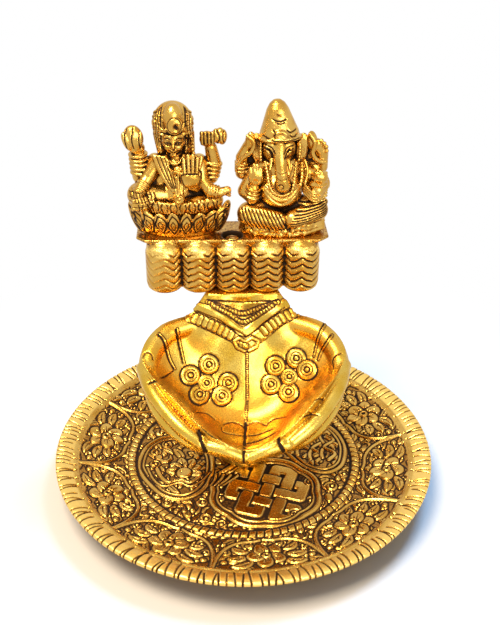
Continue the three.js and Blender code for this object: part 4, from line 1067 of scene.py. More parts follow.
HAND_CORNER = (130, 285)
HAND_ZOOM = 6.533
PIXELS_PER_MM = 3
CUFF_BANDS = [
    (5.2, [(400, 150), (560, 215), (742, 330), (900, 215), (1050, 120)]),
    (3.9, [(395, 205), (530, 262), (690, 342), (755, 392)]),
    (3.9, [(1095, 165), (960, 240), (850, 330), (755, 392)]),
]
BEAD_ROWS = [[(510, 112), (620, 150), (735, 186), (850, 148), (965, 110)],
             [(545, 135), (640, 185), (742, 242), (850, 185), (930, 135)]]
RIB_ROWS = [[(405, 212), (530, 262), (675, 335)], [(1080, 172), (960, 240), (845, 322)]]
HEART = [(755, 372), (715, 345), (680, 370), (700, 410), (765, 440), (825, 405), (840, 365), (800, 345),
         (755, 372)]
HEART_EYE = (755, 398)
CUFF_LINE = [(440, 168), (590, 232), (745, 338), (880, 240), (1010, 145)]
SEAM = [(765, 442), (765, 740), (757, 900), (746, 1085), (744, 1160)]
WRIST_LINE = [(505, 98), (740, 112), (972, 100)]
WRIST_SHADE = [(570, 118), (740, 150), (910, 118)]
# Soft patches of painted shade (dark) and of painted warm light reflected in the palms (warm): width,
# strength, line
SHADE_PATCHES = [
    (4.2, 0.34, [(190, 670), (260, 780), (350, 880), (440, 955), (560, 1015)]),
    (3.6, 0.26, [(1320, 640), (1240, 760), (1140, 865), (1040, 935), (900, 1005)]),
    (3.0, 0.34, [(570, 1000), (745, 1050), (890, 1000)]),
    (2.6, 0.3, [(180, 400), (222, 490), (200, 585)]),
    (4.0, 0.3, [(1310, 380), (1290, 500), (1250, 600)]),
]
WARM_LIGHT_PATCHES = [
    (11.0, 0.85, [(520, 830), (745, 860), (980, 800)]),
    (8.0, 0.75, [(1060, 760), (1200, 620), (1280, 400)]),
    (6.0, 0.7, [(1060, 230), (1180, 270), (1260, 360)]),
    (5.0, 0.8, [(210, 420), (230, 560), (320, 720), (430, 850)]),
    (4.0, 0.6, [(240, 280), (340, 320), (430, 390)]),
]
# Gaps between the fingers and round the nails: width, end width, line
GAPS = [
    (0.9, 1.5, [(450, 955), (466, 1020), (494, 1098)]),
    (0.9, 1.5, [(968, 985), (978, 1035), (1004, 1085)]),
    (0.45, 0.7, [(285, 560), (240, 592), (180, 620), (120, 642)]),
    (0.34, 0.34, [(84, 470), (105, 440), (140, 452), (152, 490)]),
    (0.34, 0.34, [(1330, 545), (1322, 500), (1345, 460), (1385, 445)]),
]
FINGER_FOLDS = [
    [(180, 322), (217, 365), (250, 480), (285, 548)], [(300, 290), (320, 400), (345, 510)],
    [(1280, 232), (1228, 330), (1190, 468)], [(1310, 330), (1250, 420), (1220, 490)],
]
# A flower of rings on each palm: its middle, then its petals
RING_FLOWERS = [
    [(500, 640), (515, 520), (395, 590), (640, 640), (455, 715), (600, 725)],
    [(1040, 600), (950, 530), (1085, 480), (1155, 555), (920, 650), (1035, 700)],
]
PALM_CREASES = [
    [(280, 700), (350, 800), (430, 870), (600, 1010)], [(430, 830), (500, 838), (560, 880)],
    [(610, 912), (650, 898), (690, 900), (730, 915), (750, 940)],
    [(765, 915), (800, 900), (840, 897), (890, 920)],
    [(890, 920), (930, 880), (1020, 860)], [(430, 830), (450, 900), (520, 980), (600, 1012)],
    [(600, 930), (620, 965), (745, 985)], [(755, 985), (840, 975), (930, 940)],
    [(745, 1040), (860, 1010), (990, 940)], [(1180, 760), (1230, 745), (1270, 750)],
    [(1140, 860), (1190, 845), (1230, 850)],
]
PETAL_RADIUS, EYE_RADIUS, HALO_RADIUS = 3.1, 2.6, 3.35


def on_hands(places):
    """Places in the drawing plane, from places in the enlarged view."""
    return np.array(places) * (1, -1) / (HAND_ZOOM * PIXELS_PER_MM)


def ribs(draw, line, length, pitch):
    """Short bars across a line."""
    for place, ahead in spaced(line, 8, pitch):
        side = np.array([-ahead[1], ahead[0]]) / max(np.linalg.norm(ahead), TINY)
        half = side * length * 0.3
        draw.stroke([place - half, place + half], length * 0.55, round_over=0.25)


def beads(draw, line, size, pitch):
    for place, _ in spaced(line, 8, pitch):
        draw.disc(place, size / 2)


def ringed(draw, centre, radius):
    """A disc with a ring cut in it and an eye."""
    draw.disc(centre, radius)
    draw.cut(centre + CIRCLE * radius * 0.64, 0.26)
    draw.cut(centre + (0.1, 0.06) + CIRCLE * radius * 0.3, 0.5)


def hand_ornament(draw):
    """Cuffs, a beaded seam, palm creases and two flowers of rings."""
    for width, line in CUFF_BANDS:
        draw.stroke(curve(on_hands(line)), width, round_over=0.8)
    for line in map(on_hands, BEAD_ROWS):
        draw.stroke(curve(line), 1.5, round_over=0.3)
        beads(draw, line, 1.0, 1.05)
    for line in map(on_hands, RIB_ROWS):
        ribs(draw, line, 3.0, 1.9)
    draw.stroke(on_hands(HEART), 0.9, round_over=0.3)
    draw.disc(on_hands(HEART_EYE), 0.9)
    draw.engrave(on_hands(CUFF_LINE), 0.3)
    draw.engrave(on_hands(SEAM), 1.3, 0.8)
    beads(draw, on_hands(SEAM[:3]), 0.62, 0.72)
    draw.cut(on_hands(WRIST_LINE), 0.4)
    # Painted shade under the wrist roll and in soft patches on the walls, and painted warm light reflected in
    # the palms
    draw.paint_patch(draw.dark, on_hands(WRIST_SHADE), 2.0, 0.5, 0.6)
    for layer, patches, soft in ((draw.dark, SHADE_PATCHES, 2.0), (draw.warm_light, WARM_LIGHT_PATCHES, 3.5)):
        for width, strength, line in patches:
            draw.paint_patch(layer, curve(on_hands(line)), width, strength, soft)
    for width, end, line in GAPS:
        draw.engrave(on_hands(line), width, end)
    for line in map(on_hands, FINGER_FOLDS):
        draw.stroke(curve(line + (0.5, 0.05)), 0.7, 0.4, round_over=0.3)
        draw.engrave(line, 0.62, 0.4)
    for middle, *petals in map(on_hands, RING_FLOWERS):
        for petal in petals:
            draw.cut(petal + CIRCLE * HALO_RADIUS, 0.8)
        for petal in petals:
            ringed(draw, petal, PETAL_RADIUS)
        ringed(draw, middle, EYE_RADIUS)
    for line in map(on_hands, PALM_CREASES):
        draw.engrave(line, 0.32, 0.26)


# Throne: five upright lobes with engraved zigzags under a flaring slab

THRONE_STEP = 0.3
LOBES, LOBE_PITCH, LOBE_RADIUS = 5, 11.4, 6.3
SCREW_PLACE = (-3.4, 26.5)
RECESS_RADIUS, RECESS_DEPTH = 3.3, 2.5
FIGURE_Y = 31.5
LAKSHMI_X, GANESHA_X = -21.6, 12.4
WELL_RADIUS, WELL_DEPTH = 2.6, 8
SLAB_LAYERS, SLAB_OVERHANG, SLAB_CORNER = 8, 4.9, 3
ZIGZAG_PITCH, ZIGZAG_RISE, ZIGZAG_DEPTH = 2.45, 2.1, 0.5

throne_low, throne_high = node_box("throne")
THRONE_BOTTOM, THRONE_TOP = throne_low[2], throne_high[2]
THRONE_MIDDLE = (throne_low[0] + throne_high[0]) / 2
THRONE_FRONT = throne_low[1]
FIRST_LOBE = -(LOBES - 1) / 2


def throne_solid():
    bottom, top, front, back = THRONE_BOTTOM, THRONE_TOP, THRONE_FRONT, throne_high[1]
    field = Field(throne_low - 1.2, throne_high + 1.2, THRONE_STEP)
    lobe = [(0, bottom), (5.2, bottom), (6.0, bottom + 0.9), (LOBE_RADIUS, bottom + 2.4),
            (LOBE_RADIUS, top - 5), (5.7, top - 3), (4.3, top - 1.2), (3.2, top - 0.5), (0, top - 0.5)]
    for k in range(LOBES):
        field.turned((THRONE_MIDDLE + (k + FIRST_LOBE) * LOBE_PITCH, front + LOBE_RADIUS, 0), lobe, blend=0.5)
    half = LOBES * LOBE_PITCH / 2
    ends = np.array([(-1, 0), (1, 0), (1, 1), (-1, 1)])
    block = (THRONE_MIDDLE, front + LOBE_RADIUS) + ends * (half, back - front - LOBE_RADIUS)
    field.slab(block, bottom, top - 1, 0.5, 0.6)
    for k in range(SLAB_LAYERS):
        share = k / (SLAB_LAYERS - 1)
        reach = half - 1.5 + SLAB_OVERHANG * share**1.3
        ahead = front + 4.4 - 1.0 * share
        corner = ahead + SLAB_CORNER
        outline = [(-reach, corner), (SLAB_CORNER - reach, ahead), (reach - SLAB_CORNER, ahead),
                   (reach, corner), (reach, back), (-reach, back)]
        level = top - 3.4 + 2.4 * share
        field.slab(np.array(outline) + (THRONE_MIDDLE, 0), level, level + 1, 0.5, 0.4)
    recess_floor = top - RECESS_DEPTH
    recess = [(0, recess_floor), (RECESS_RADIUS, recess_floor), (RECESS_RADIUS, top + 2), (0, top + 2)]
    field.turned((*SCREW_PLACE, 0), recess, cut=True)
    floor = bottom - 1.5
    well = [(0, floor), (WELL_RADIUS, floor), (WELL_RADIUS, bottom + WELL_DEPTH), (0, bottom + WELL_DEPTH)]
    for x in (LAKSHMI_X, GANESHA_X):
        field.turned((x, FIGURE_Y, 0), well, blend=0.2, cut=True)
    z = field.grid()[2]
    field.keep(np.maximum(bottom - z, z - top))
    return field


def make_throne(material):
    bottom, top = THRONE_BOTTOM, THRONE_TOP
    points, faces, normals, hollow = throne_solid().surface()
    x, y, z = points.T
    forward = -normals[:, 1]
    lobe = np.clip(np.round((x - THRONE_MIDDLE) / LOBE_PITCH - FIRST_LOBE), 0, LOBES - 1)
    centre = THRONE_MIDDLE + (lobe + FIRST_LOBE) * LOBE_PITCH
    across = np.clip(np.arctan2(x - centre, THRONE_FRONT + LOBE_RADIUS - y) / 1.25, -1.2, 1.2)

    # zigzags, worn away on much of the first two lobes
    rise = ZIGZAG_RISE * np.abs(np.abs(across) * 2 - 1) + 0.15 * np.sin(x * 1.7)
    row = ((z - bottom - rise) / ZIGZAG_PITCH) % 1
    left = [0.35 + 0.5 * smooth(across, 0.0, 0.6), 0.5 + 0.5 * smooth(np.abs(across), 0.1, 0.5)]
    strength = np.select([lobe == 0, lobe == 1], left, 1.0)
    band = smooth(z, bottom + 0.9, bottom + 1.8) * smooth(z, top - 3.4, top - 4.6)
    on_face = smooth(forward, 0.1, 0.4) * band
    line = smooth(np.abs(row - 0.5), 0.2, 0.06) * strength * on_face
    points = points - normals * (ZIGZAG_DEPTH * line)[:, None]

    # dark hollows (patina, with painted shade in the broader ones), a mottled top, a recess painted dark as
    # shade, and a strip over the lobes painted bright as wear and highlight
    grain = np.random.default_rng(5).normal(0, 1, len(points))
    patina_and_shading = np.clip(0.8 * smooth(hollow, 0.4, 1.8) + 0.95 * line, 0, 1)
    behind = smooth(y, THRONE_FRONT + 2.4, THRONE_FRONT + 3.4) * smooth(z, top - 3.4, top - 2.4)
    mottled = np.maximum(behind, smooth(z, top - 0.5, top - 0.2))
    patina_and_shading = np.clip(patina_and_shading + mottled * (0.3 + 0.22 * grain), 0, 1)
    # The screw's recess is painted dark as shade
    from_screw = np.hypot(x - SCREW_PLACE[0], y - SCREW_PLACE[1])
    recess = smooth(from_screw, RECESS_RADIUS + 0.9, RECESS_RADIUS + 0.2) * smooth(z, top - 3.4, top - 3.0)
    patina_and_shading = np.maximum(patina_and_shading, 0.9 * recess)
    # A strip over the lobes' tops painted bright: wear together with a painted highlight
    worn_sheen_strip = smooth(z, top - 5.6, top - 4.4) * smooth(z, top - 1.6, top - 2.4) * smooth(forward, 0.0, 0.3)
    patina_and_shading = np.where(patina_and_shading < 0.15, WORN_SHEEN * worn_sheen_strip * smooth(grain, -1.4, 0.4), patina_and_shading)
    make_piece("throne_block", points, faces, patina_and_shading, material, "throne")


# Figures: each is modelled about its own seat, x to the right, -y to the front, z up from the slab

FIGURE_STEP = 0.26
LOTUS_X = 0.9
# Lotus petals: the way each faces, its half-width and half-height
PETALS = [(-84, 2.6, 5.6), (-62, 2.7, 5.2), (-41, 2.6, 4.9), (-23, 2.4, 4.6), (-7, 2.2, 4.7), (9, 2.1, 4.6),
          (25, 2.3, 4.7), (43, 2.5, 4.9), (63, 2.7, 5.2), (85, 2.6, 5.6)]
HAIR, HAIR_RADII = (-0.5, 1.2, 36.4), (6.5, 4.7, 7.1)
FACE = np.array([-0.4, -0.9, 31.4])
FACE_X = FACE[0]
CROWN_X = -0.3
BELLY, BELLY_RADII = (0, -1.4, 15.0), (7.3, 6.2, 6.6)
SEAT_X = 0.3
SWEET = np.array([12.4, -4.9, 20.3])


def bangles(field, start, end, count, radius, thick):
    """Rings round a forearm, square to it."""
    start, end = np.array(start, float), np.array(end, float)
    tilt = [math.degrees(angle) for angle in Vector(end - start).to_track_quat("Z", "Y").to_euler()]
    for share in np.linspace(0, 1, count):
        field.ring(start + (end - start) * share, (radius, radius), thick, tilt)


def make_figure(name, place_x, model, ornament, material):
    """One figure: its solid on the throne, with engraving on the front."""
    node = name + "_figure"
    low, high = node_box(node)
    seat = np.array([place_x, FIGURE_Y, THRONE_TOP])
    field = Field(low - seat - 1, high - seat + 1, FIGURE_STEP)
    model(field)
    field.keep(-field.grid()[2])
    points, faces, normals, hollow = field.surface()
    draw = Drawing(points[:, 0], points[:, 2])
    ornament(draw)
    facing = smooth(-normals[:, 1], 0.15, 0.45)
    points = np.clip(points - normals * (0.3 * facing * draw.groove)[:, None], low - seat, high - seat)
    # Patina in crevices, painted shade in broad recesses, and the engraving dark
    patina_and_shading = np.clip(0.95 * smooth(hollow, 0.15, 1.35) + facing * (draw.groove + 0.7 * draw.dark), 0, 1)
    make_piece(name, points + seat, faces, patina_and_shading, material, node)


# Lakshmi

def lotus_seat(field):
    profile = [(0, 0), (12, 0), (12.4, 1.2), (13.4, 4.0), (13.8, 6.4), (13.0, 8.2), (11.4, 9.2), (0, 9.6)]
    field.turned((LOTUS_X, 0, 0), profile, 0.52)
    for turn, wide, tall in PETALS:
        angle = math.radians(turn)
        x, y = math.sin(angle), -math.cos(angle)
        lean = math.degrees(math.atan2(0.62, 1)) * (0.55 + 0.45 * abs(x))
        tilt = (lean * math.cos(angle), lean * x, 0.6 * turn)
        field.ball((LOTUS_X + 14.4 * x, 7.5 * y, 5.2), (wide, 1.25, tall), tilt, 0.12)
    rng = np.random.default_rng(4)
    for turn in np.arange(-76, 80, 4.6):
        x, y = math.sin(math.radians(turn)), -math.cos(math.radians(turn))
        foot = np.array([LOTUS_X + 13.2 * x, 6.9 * y, 8.6])
        rise = rng.uniform(2.6, 3.9)
        field.limb([foot, foot + (0.5 * x + rng.uniform(-0.3, 0.3), 0.2 * y, rise)], (0.5, 0.85), 0.12)


def lakshmi_body(field):
    """Legs and lap, then trunk, shoulders and the ground behind them."""
    field.limb([(-2, 1, 12), (-11.8, -2.0, 13.4), (-11.0, -4.6, 11.6)], (4.4, 4.1, 3.2), 1.0)
    field.limb([(3, 1, 11.6), (12.2, -2.0, 11.4), (3, -5.0, 10.8)], (4, 3.1, 2.2), 0.8)
    field.limb([(0.6, 0.8, 11), (0.9, 0.4, 17), (0.8, 0.8, 22)], (5.6, 4.3, 5.2), 0.8)
    field.ball((0.8, 1.0, 23.4), (8.0, 3.6, 3.3), blend=1.0)
    field.limb([(-0.3, 0.4, 25), (-0.3, -0.8, 29)], (2.6, 2.4), 0.6)
    field.ball((-5.6, 1.2, 17.4), (4.6, 2.6, 5.4), blend=0.8)
    field.ball((6.6, 1.2, 18.0), (4.0, 2.6, 5.0), blend=0.8)
    field.ball((-0.4, 1.8, 29.4), (5.0, 2.6, 4.2), blend=0.6)


def lakshmi_dress(field):
    """Shawl folds that meet at the lap, a sash with a clasp, and necklaces."""
    for k in range(5):
        s = k / 4
        field.tube([(-6.6 + 3.4 * s, -1.4 - 1.6 * s, 26.2), (-4.6 + 3.2 * s, -4.0 - 0.8 * s, 21.6),
                    (-0.6 + 1.1 * s, -5.6 - 0.7 * s, 15.6)], (0.75, 0.5), 0.15)
        if k in (0, 4):
            field.tube([(8.4 - 3.4 * s, -1.4 - 1.6 * s, 25.8), (6.6 - 3.4 * s, -4.0 - 0.8 * s, 21.4),
                        (2.8 - 1.1 * s, -5.6 - 0.7 * s, 15.6)], (0.75, 0.5), 0.15)
    field.limb([(0.9, -3.6, 22.6), (1.0, -5.4, 17.5), (1.1, -6.4, 14.6)], (1.7, 1.5, 1.5), 0.3)
    for across in (-0.55, 0.55):
        field.limb([(0.9 + across, -5.4, 22), (1.1 + across * 1.4, -7.6, 15.2)], (0.35, 0.45), 0.1, cut=True)
    field.ball((1.1, -6.6, 14.1), (1.9, 1.4, 1.8), blend=0.2)
    field.ring((1.1, -7.9, 14.1), (1.2, 1.2), 0.36, (90, 0, 0))
    field.ball((1.1, -7.9, 14.1), (0.55, 0.4, 0.55), blend=0.1)
    field.garland([(-3.0, -2.2, 27.0), (-1.8, -3.9, 25.4), (0, -4.5, 24.8), (1.7, -3.9, 25.4),
                   (2.8, -2.2, 27.0)], 0.55, 0.95)
    field.garland([(-4.2, -2.4, 26.4), (-2.2, -4.6, 23.6), (0.2, -5.2, 22.2), (2.6, -4.6, 23.4),
                   (4.2, -2.6, 26.2)], 0.6, 1.1)
    field.ring((0.2, -5.6, 21.6), (0.95, 1.15), 0.4, (90, 0, 0))


def lakshmi_raised_arms(field):
    """Two raised arms with bangles: one holds a bud and the other an open lotus."""
    field.limb([(-6.6, 1, 23.6), (-11.2, 1.3, 18.8), (-11.9, 0.8, 23.5), (-11.7, 0.3, 28)],
               (2.8, 3.0, 2.8, 2.1), 0.6)
    bangles(field, (-11.6, 0.9, 20.4), (-11.9, 0.5, 26.4), 5, 2.7, 0.5)
    field.ball((-12.2, -0.3, 28.8), (2.7, 2.3, 1.9), blend=0.3)
    field.ball((-13.0, -0.4, 32.0), (3.2, 2.5, 4.2), (0, -10, 0), 0.2)
    for x, z, tilt in ((-14.9, 31.2, -22), (-13.2, 31.8, -8), (-11.4, 31.2, 12)):
        field.ball((x, -1.5, z), (1.5, 1.5, 3.4), (0, tilt, 0), 0.12)
    field.limb([(7.6, 1, 23.6), (11.2, 1.3, 18.4), (12.4, 0.9, 23.4), (11.4, 0.3, 28.6)],
               (2.6, 2.7, 2.4, 2.0), 0.6)
    bangles(field, (11.4, 1.1, 19.2), (12.3, 0.8, 23.4), 4, 2.5, 0.5)
    field.ball((10.3, -0.3, 31.6), (2.5, 2.2, 2.6), (0, -8, 0), 0.3)
    for k in range(4):
        field.limb([(8.6 + 1.15 * k, -1.9, 34.0), (8.8 + 1.1 * k, -2.3, 30.8)], (0.72, 0.66), 0.12)
    for x, z, tilt in ((13.4, 32.6, -10), (15.2, 32.3, 6), (14.4, 32.9, 0)):
        field.ball((x, -0.5, z), (1.45, 1.9, 2.5), (0, tilt, 0), 0.15)


def lakshmi_front_arms(field):
    """A blessing hand before the breast, an arm on the right knee and one over the left knee."""
    field.limb([(6.4, -2.6, 16.2), (5.0, -5.2, 18.0)], (1.9, 1.6), 0.4)
    field.ball((5.0, -6.3, 20.2), (3.1, 1.4, 3.0), blend=0.15)
    for k, reach in enumerate((26.8, 28.0, 28.1, 27.0)):
        field.limb([(3.1 + 1.25 * k, -6.6, 22.0), (2.8 + 1.45 * k, -5.6, reach)], (0.78, 0.62), 0.05)
    field.limb([(2.7, -6.0, 19.2), (2.0, -6.3, 22.2)], (0.75, 0.6), 0.1)

    field.limb([(7.8, -0.2, 23.4), (8.4, -2.2, 18.6), (11.0, -4.0, 15.4), (14.2, -4.4, 15.0)],
               (2.5, 2.3, 1.9, 1.5), 0.5)
    field.limb([(14.0, -4.4, 15.0), (16.6, -4.2, 15.8)], (1.6, 1.3), 0.3)
    for k in range(3):
        y = -5.1 + 0.8 * k
        field.limb([(15.4, y, 15.9 - 0.7 * k), (17.4, y + 0.3, 15.6 - 1.1 * k)], (0.6, 0.5), 0.12)
    bangles(field, (10.8, -3.8, 15.6), (13.4, -4.3, 15.1), 4, 2.0, 0.36)

    field.limb([(-6.2, -0.2, 23.2), (-9.0, -1.8, 19.0), (-11.6, -4.8, 15.8), (-12.2, -6.0, 12.8)],
               (2.4, 2.3, 1.9, 1.5), 0.5)
    bangles(field, (-10.2, -3.2, 17.6), (-11.9, -5.1, 15.2), 4, 2.05, 0.36)
    for k in range(4):
        field.limb([(-13.4 + 0.9 * k, -6.6, 13.0), (-13.8 + 0.9 * k, -7.0, 10.2)], (0.62, 0.5), 0.12)


def hair_curls(field):
    """Small curls over both sides of the hair."""
    rng = np.random.default_rng(12)
    for side in (-1, 1):
        for z in np.arange(29.2, 40.6, 1.15):
            for turn in np.arange(38, 112, 15):
                angle = math.radians(turn + rng.uniform(-6, 6))
                level = np.sqrt(max(1 - ((z - HAIR[2]) / HAIR_RADII[2]) ** 2, 0.3))
                x = HAIR[0] + side * 6.0 * level * math.sin(angle)
                y = HAIR[1] - 4.5 * level * math.cos(angle)
                field.ball((x, y, z + rng.uniform(-0.3, 0.3)), (0.75, 0.75, 0.6), blend=0.25)


def calm_face(field):
    """A quiet, even face: lowered lids halfway down the head, a straight nose and a closed mouth."""
    for side in (-1, 1):
        field.ball(FACE + (side * 1.7, -3.2, 0.2), (1.2, 0.6, 0.7), (0, 0, side * 14), 0.3, cut=True)
        field.ball(FACE + (side * 1.7, -2.95, 0.15), (1.0, 0.7, 0.55), (0, 0, side * 14), 0.2)
        brow = FACE + [(side * 0.6, -3.75, 1.15), (side * 1.6, -3.5, 1.55), (side * 2.6, -2.75, 1.15)]
        field.tube(brow, (0.22, 0.16), 0.12, 4)
        field.ball(FACE + (side * 1.7, -2.75, -1.5), (1.0, 0.8, 0.9), blend=0.5)
    field.limb([FACE + (0, -3.7, 1.0), FACE + (0, -4.25, -0.9)], (0.3, 0.55), 0.3)
    for y, z, radii, blend in [
        (-4.0, -1.0, (0.8, 0.5, 0.4), 0.2), (-3.65, -2.15, (1.0, 0.42, 0.26), 0.12),
        (-3.55, -2.65, (0.8, 0.42, 0.28), 0.12), (-3.0, -3.7, (1.0, 0.7, 0.7), 0.5),
        (-3.85, 1.9, (0.28, 0.25, 0.28), 0.08),
    ]:
        field.ball(FACE + (0, y, z), radii, blend=blend)


def lakshmi_head(field):
    """Hair, head and crown, with curls, the face and ear drops."""
    field.ball(HAIR, HAIR_RADII, blend=0.4)
    field.limb([(-5.2, 1.2, 33), (-4.4, 1.4, 27.6)], (1.7, 1.6), 0.6)
    field.limb([(4.6, 1.2, 33), (4.8, 1.4, 27.6)], (1.7, 1.6), 0.6)
    field.ball(FACE, (3.7, 3.9, 4.5), blend=0.15)
    field.ball((CROWN_X, -1.3, 38.4), (3.4, 3.9, 5.2), blend=0.05)
    field.ring((FACE_X, -0.8, 35.0), (4.0, 4.2), 0.45, (-14, 0, 0), beads=26)
    field.ball((0.2, -4.9, 37.4), (2.6, 1.3, 2.9), blend=0.12)
    field.ball((0.9, -6.4, 37.0), (1.35, 1.0, 1.5), blend=0.15, cut=True)
    hair_curls(field)
    field.garland([(4.6, -1.6, 34.4), (5.6, -1.2, 31.4), (5.6, -1.0, 28.2), (6.4, -1.2, 26)], 0.62, 1.15)
    calm_face(field)
    for side in (-1, 1):
        field.ball((FACE_X + side * 3.75, -1.4, 30.9), (0.6, 0.8, 1.2), blend=0.2)
        field.ball((FACE_X + side * 3.95, -1.7, 29.0), (0.72, 0.72, 0.8), blend=0.15)
        field.ball((FACE_X + side * 3.95, -1.7, 27.9), (0.45, 0.45, 0.55), blend=0.15)


def lakshmi(field):
    for part in (lotus_seat, lakshmi_body, lakshmi_dress, lakshmi_raised_arms, lakshmi_front_arms,
                 lakshmi_head):
        part(field)


# Engraving on either side of the face: width, end width, x from its middle, z
FACE_LINES = [
    (0.4, 0.4, [(0.7, 31.3), (1.75, 31.9), (2.85, 31.35)]),
    (0.22, 0.22, [(0.9, 31.1), (1.75, 30.8), (2.7, 31.2)]),
    (0.34, 0.22, [(0.6, 32.7), (1.9, 33.2), (3.1, 32.5)]),
    (0.5, 0.5, [(3.9, 33.4), (3.9, 30.6), (2.9, 28.3), (0.8, 27.1)]),
    (0.18, 0.18, [(0.45, 30.9), (0.8, 29.8)]),
]
CROWN_LINE = [(3.3, 43.0), (3.9, 40.5), (3.9, 36.4)]
# Engraving across: width, x and z of its points
LAKSHMI_LINES = [
    (0.24, [(-1.0, 29.7), (-0.4, 29.55), (0.2, 29.7)]), (0.36, [(-1.6, 28.75), (-0.4, 28.6), (0.8, 28.75)]),
    (0.2, [(-0.9, 28.05), (-0.4, 28.0), (0.1, 28.05)]), (0.36, [(-4.3, 34.4), (-0.4, 34.2), (3.6, 34.6)]),
    (0.4, [(13.4, 34.8), (14.2, 32.4), (13.4, 30.4)]), (0.36, [(15.6, 34.6), (15.2, 32.4), (15.8, 30.4)]),
]
PALM = [(2.2, 19.6), (2.3, 22.0), (7.6, 22.2), (7.9, 19.8), (6.6, 17.5), (3.6, 17.4)]


def lakshmi_ornament(draw):
    """Engraving on the front: petal outlines, shawl folds, face, hair, hands and cloth."""
    for turn, wide, tall in PETALS:
        angle = math.radians(turn)
        middle = np.array([LOTUS_X + 15.2 * math.sin(angle), 4.9])
        lean = np.array([2.6 * math.sin(angle), tall - 0.6])
        narrow = wide * (0.25 + 0.75 * math.cos(angle)) * 0.8
        for side in (-narrow, narrow):
            draw.engrave([middle - lean * 0.9, middle + (side, -0.4), middle + (side * 0.75, 2.0),
                          middle + lean * 0.9], 0.5)
            draw.engrave([middle - lean * 0.5, middle + (side * 0.45, 0), middle + lean * 0.4], 0.3)
    for k in range(4):
        draw.engrave([(-6.0 + 1.3 * k, 26.6), (-3.9 + 1.1 * k, 21.8), (-1.3 + 0.5 * k, 17.2)], 0.32)
    for side in (-1, 1):
        for width, end, line in FACE_LINES:
            draw.engrave(np.array(line) * (side, 1) + (FACE_X, 0), width, end)
        draw.engrave(np.array(CROWN_LINE) * (side, 1) + (CROWN_X, 0), 0.45)
        draw.dot((FACE_X + side * 1.75, 31.35), 0.34)
        for k in range(3):
            strand = [(3.9 + 0.7 * k, 42.2 - 0.9 * k), (4.7 + 0.8 * k, 39.4), (4.5 + 0.8 * k, 36.4),
                      (4.9 + 0.7 * k, 33.0), (4.6 + 0.6 * k, 29.6)]
            draw.engrave(np.array(strand) * (side, 1) + (FACE_X, 0), 0.3, 0.2)
    for width, line in LAKSHMI_LINES:
        draw.engrave(line, width)
    draw.cut((0.2, 37.6) + CIRCLE * (2.3, 2.6), 0.24)
    # Painted shade in the hollow of the crown's jewel
    draw.paint_patch(draw.dark, [(0.5, 37.5), (1.1, 36.8)], 1.5, 1.0, 0.7)
    for k in range(18):
        x = -12.0 + 1.5 * k
        draw.engrave([(x, 12.0), (x + 0.35 * (-1) ** k, 10.6), (x + 0.1, 9.2)], 0.42, 0.25)
    draw.cut(closed(PALM), 0.42)
    for k in range(5):
        draw.cut([(2.5 + 1.25 * k, 22.2), (2.1 + 1.45 * k, 26.8)], 0.34, 0.26)
        draw.cut([(8.0 + 1.15 * k, 34.6), (8.2 + 1.1 * k, 30.6)], 0.36)
    for x in (-15.6, -13.4, -11.2):
        draw.engrave([(x + 0.6, 35.6), (x, 32.4), (x + 0.5, 29.2)], 0.42)
    for k in range(8):
        draw.cut([(-15.4 + 1.2 * k, 16.6 - 0.2 * k), (-14.2 + 1.2 * k, 13.4 - 0.3 * k)], 0.28)
    for k in range(4):
        draw.cut([(-15.6, 10.8 + 1.5 * k), (-8.0, 11.6 + 1.6 * k)], 0.22)


# Ganesha

def rough_seat(field):
    """A lumpy seat with folded cloth at one end."""
    field.turned((SEAT_X, 0, 0), [(0, 0), (13.2, 0), (13.8, 1.2), (13.2, 3.2), (12, 4.6), (0, 4.6)], 0.52)
    for k in range(4):
        z = 1.15 * k
        fold = [(8.0 + 0.5 * k, -6.0 + 0.5 * k, 0.9 + z), (14.6, -2.2 + 0.3 * k, 1.3 + z)]
        field.limb(fold, (0.85, 0.7), 0.15)
    rng = np.random.default_rng(21)
    for turn in np.arange(-80, 80, 6):
        for level in (1.0, 2.4, 3.8):
            angle = math.radians(turn + rng.uniform(-3, 3))
            lump = (SEAT_X + 13.3 * math.sin(angle), -6.9 * math.cos(angle), level + rng.uniform(-0.5, 0.5))
            field.ball(lump, rng.uniform(0.6, 1.1, 3), blend=0.3)


def ganesha_body(field):
    """Crossed legs, belly, breast, the ground behind, and the head with its brows."""
    field.limb([(-3, 0.6, 8), (-10.2, -2.8, 6.8), (-1.0, -5.8, 5.6)], (4.4, 4.0, 3.2), 0.7)
    field.limb([(3, 0.6, 8.4), (12.0, -2.0, 7.8), (4.0, -6.0, 6.2)], (4.4, 4.0, 3.0), 0.3)
    field.limb([(10, -0.6, 11.4), (14.4, -2.2, 10.6)], (1.6, 1.4), 0.2)
    field.ball(BELLY, BELLY_RADII, blend=0.6)
    field.ball((0, 0.8, 21.6), (8.8, 4.7, 4.8), blend=1.2)
    field.ball((0.6, 2.2, 23.0), (13.4, 2.2, 9.4), blend=0.6)
    field.ball((-0.9, -0.4, 28.6), (5.5, 4.8, 5.2), blend=0.5)
    field.ball((-3.4, -3.6, 30.2), (2.6, 2.2, 2.4), blend=0.8)
    field.ball((1.6, -3.6, 30.2), (2.6, 2.2, 2.4), blend=0.8)


def ganesha_crown(field):
    profile = [(0, 0), (6.2, 0.2), (6.6, 1.4), (6.2, 3.2), (5.3, 5.4), (4.4, 7.8), (3.5, 10.2), (2.4, 12.0),
               (1.1, 13.0), (0, 13.2)]
    field.turned((-0.6, -0.6, 31.2), profile, 0.88, (-7, -5, 0), 0.2)
    field.ring((-0.6, -0.7, 32.2), (6.6, 5.8), 0.6, (-9, -4, 0), blend=0.3)
    field.ball((-0.7, -5.7, 34.7), (2.3, 1.0, 1.4), blend=0.3)
    field.ball((-0.5, -6.9, 34.8), (1.4, 0.9, 0.8), blend=0.2, cut=True)


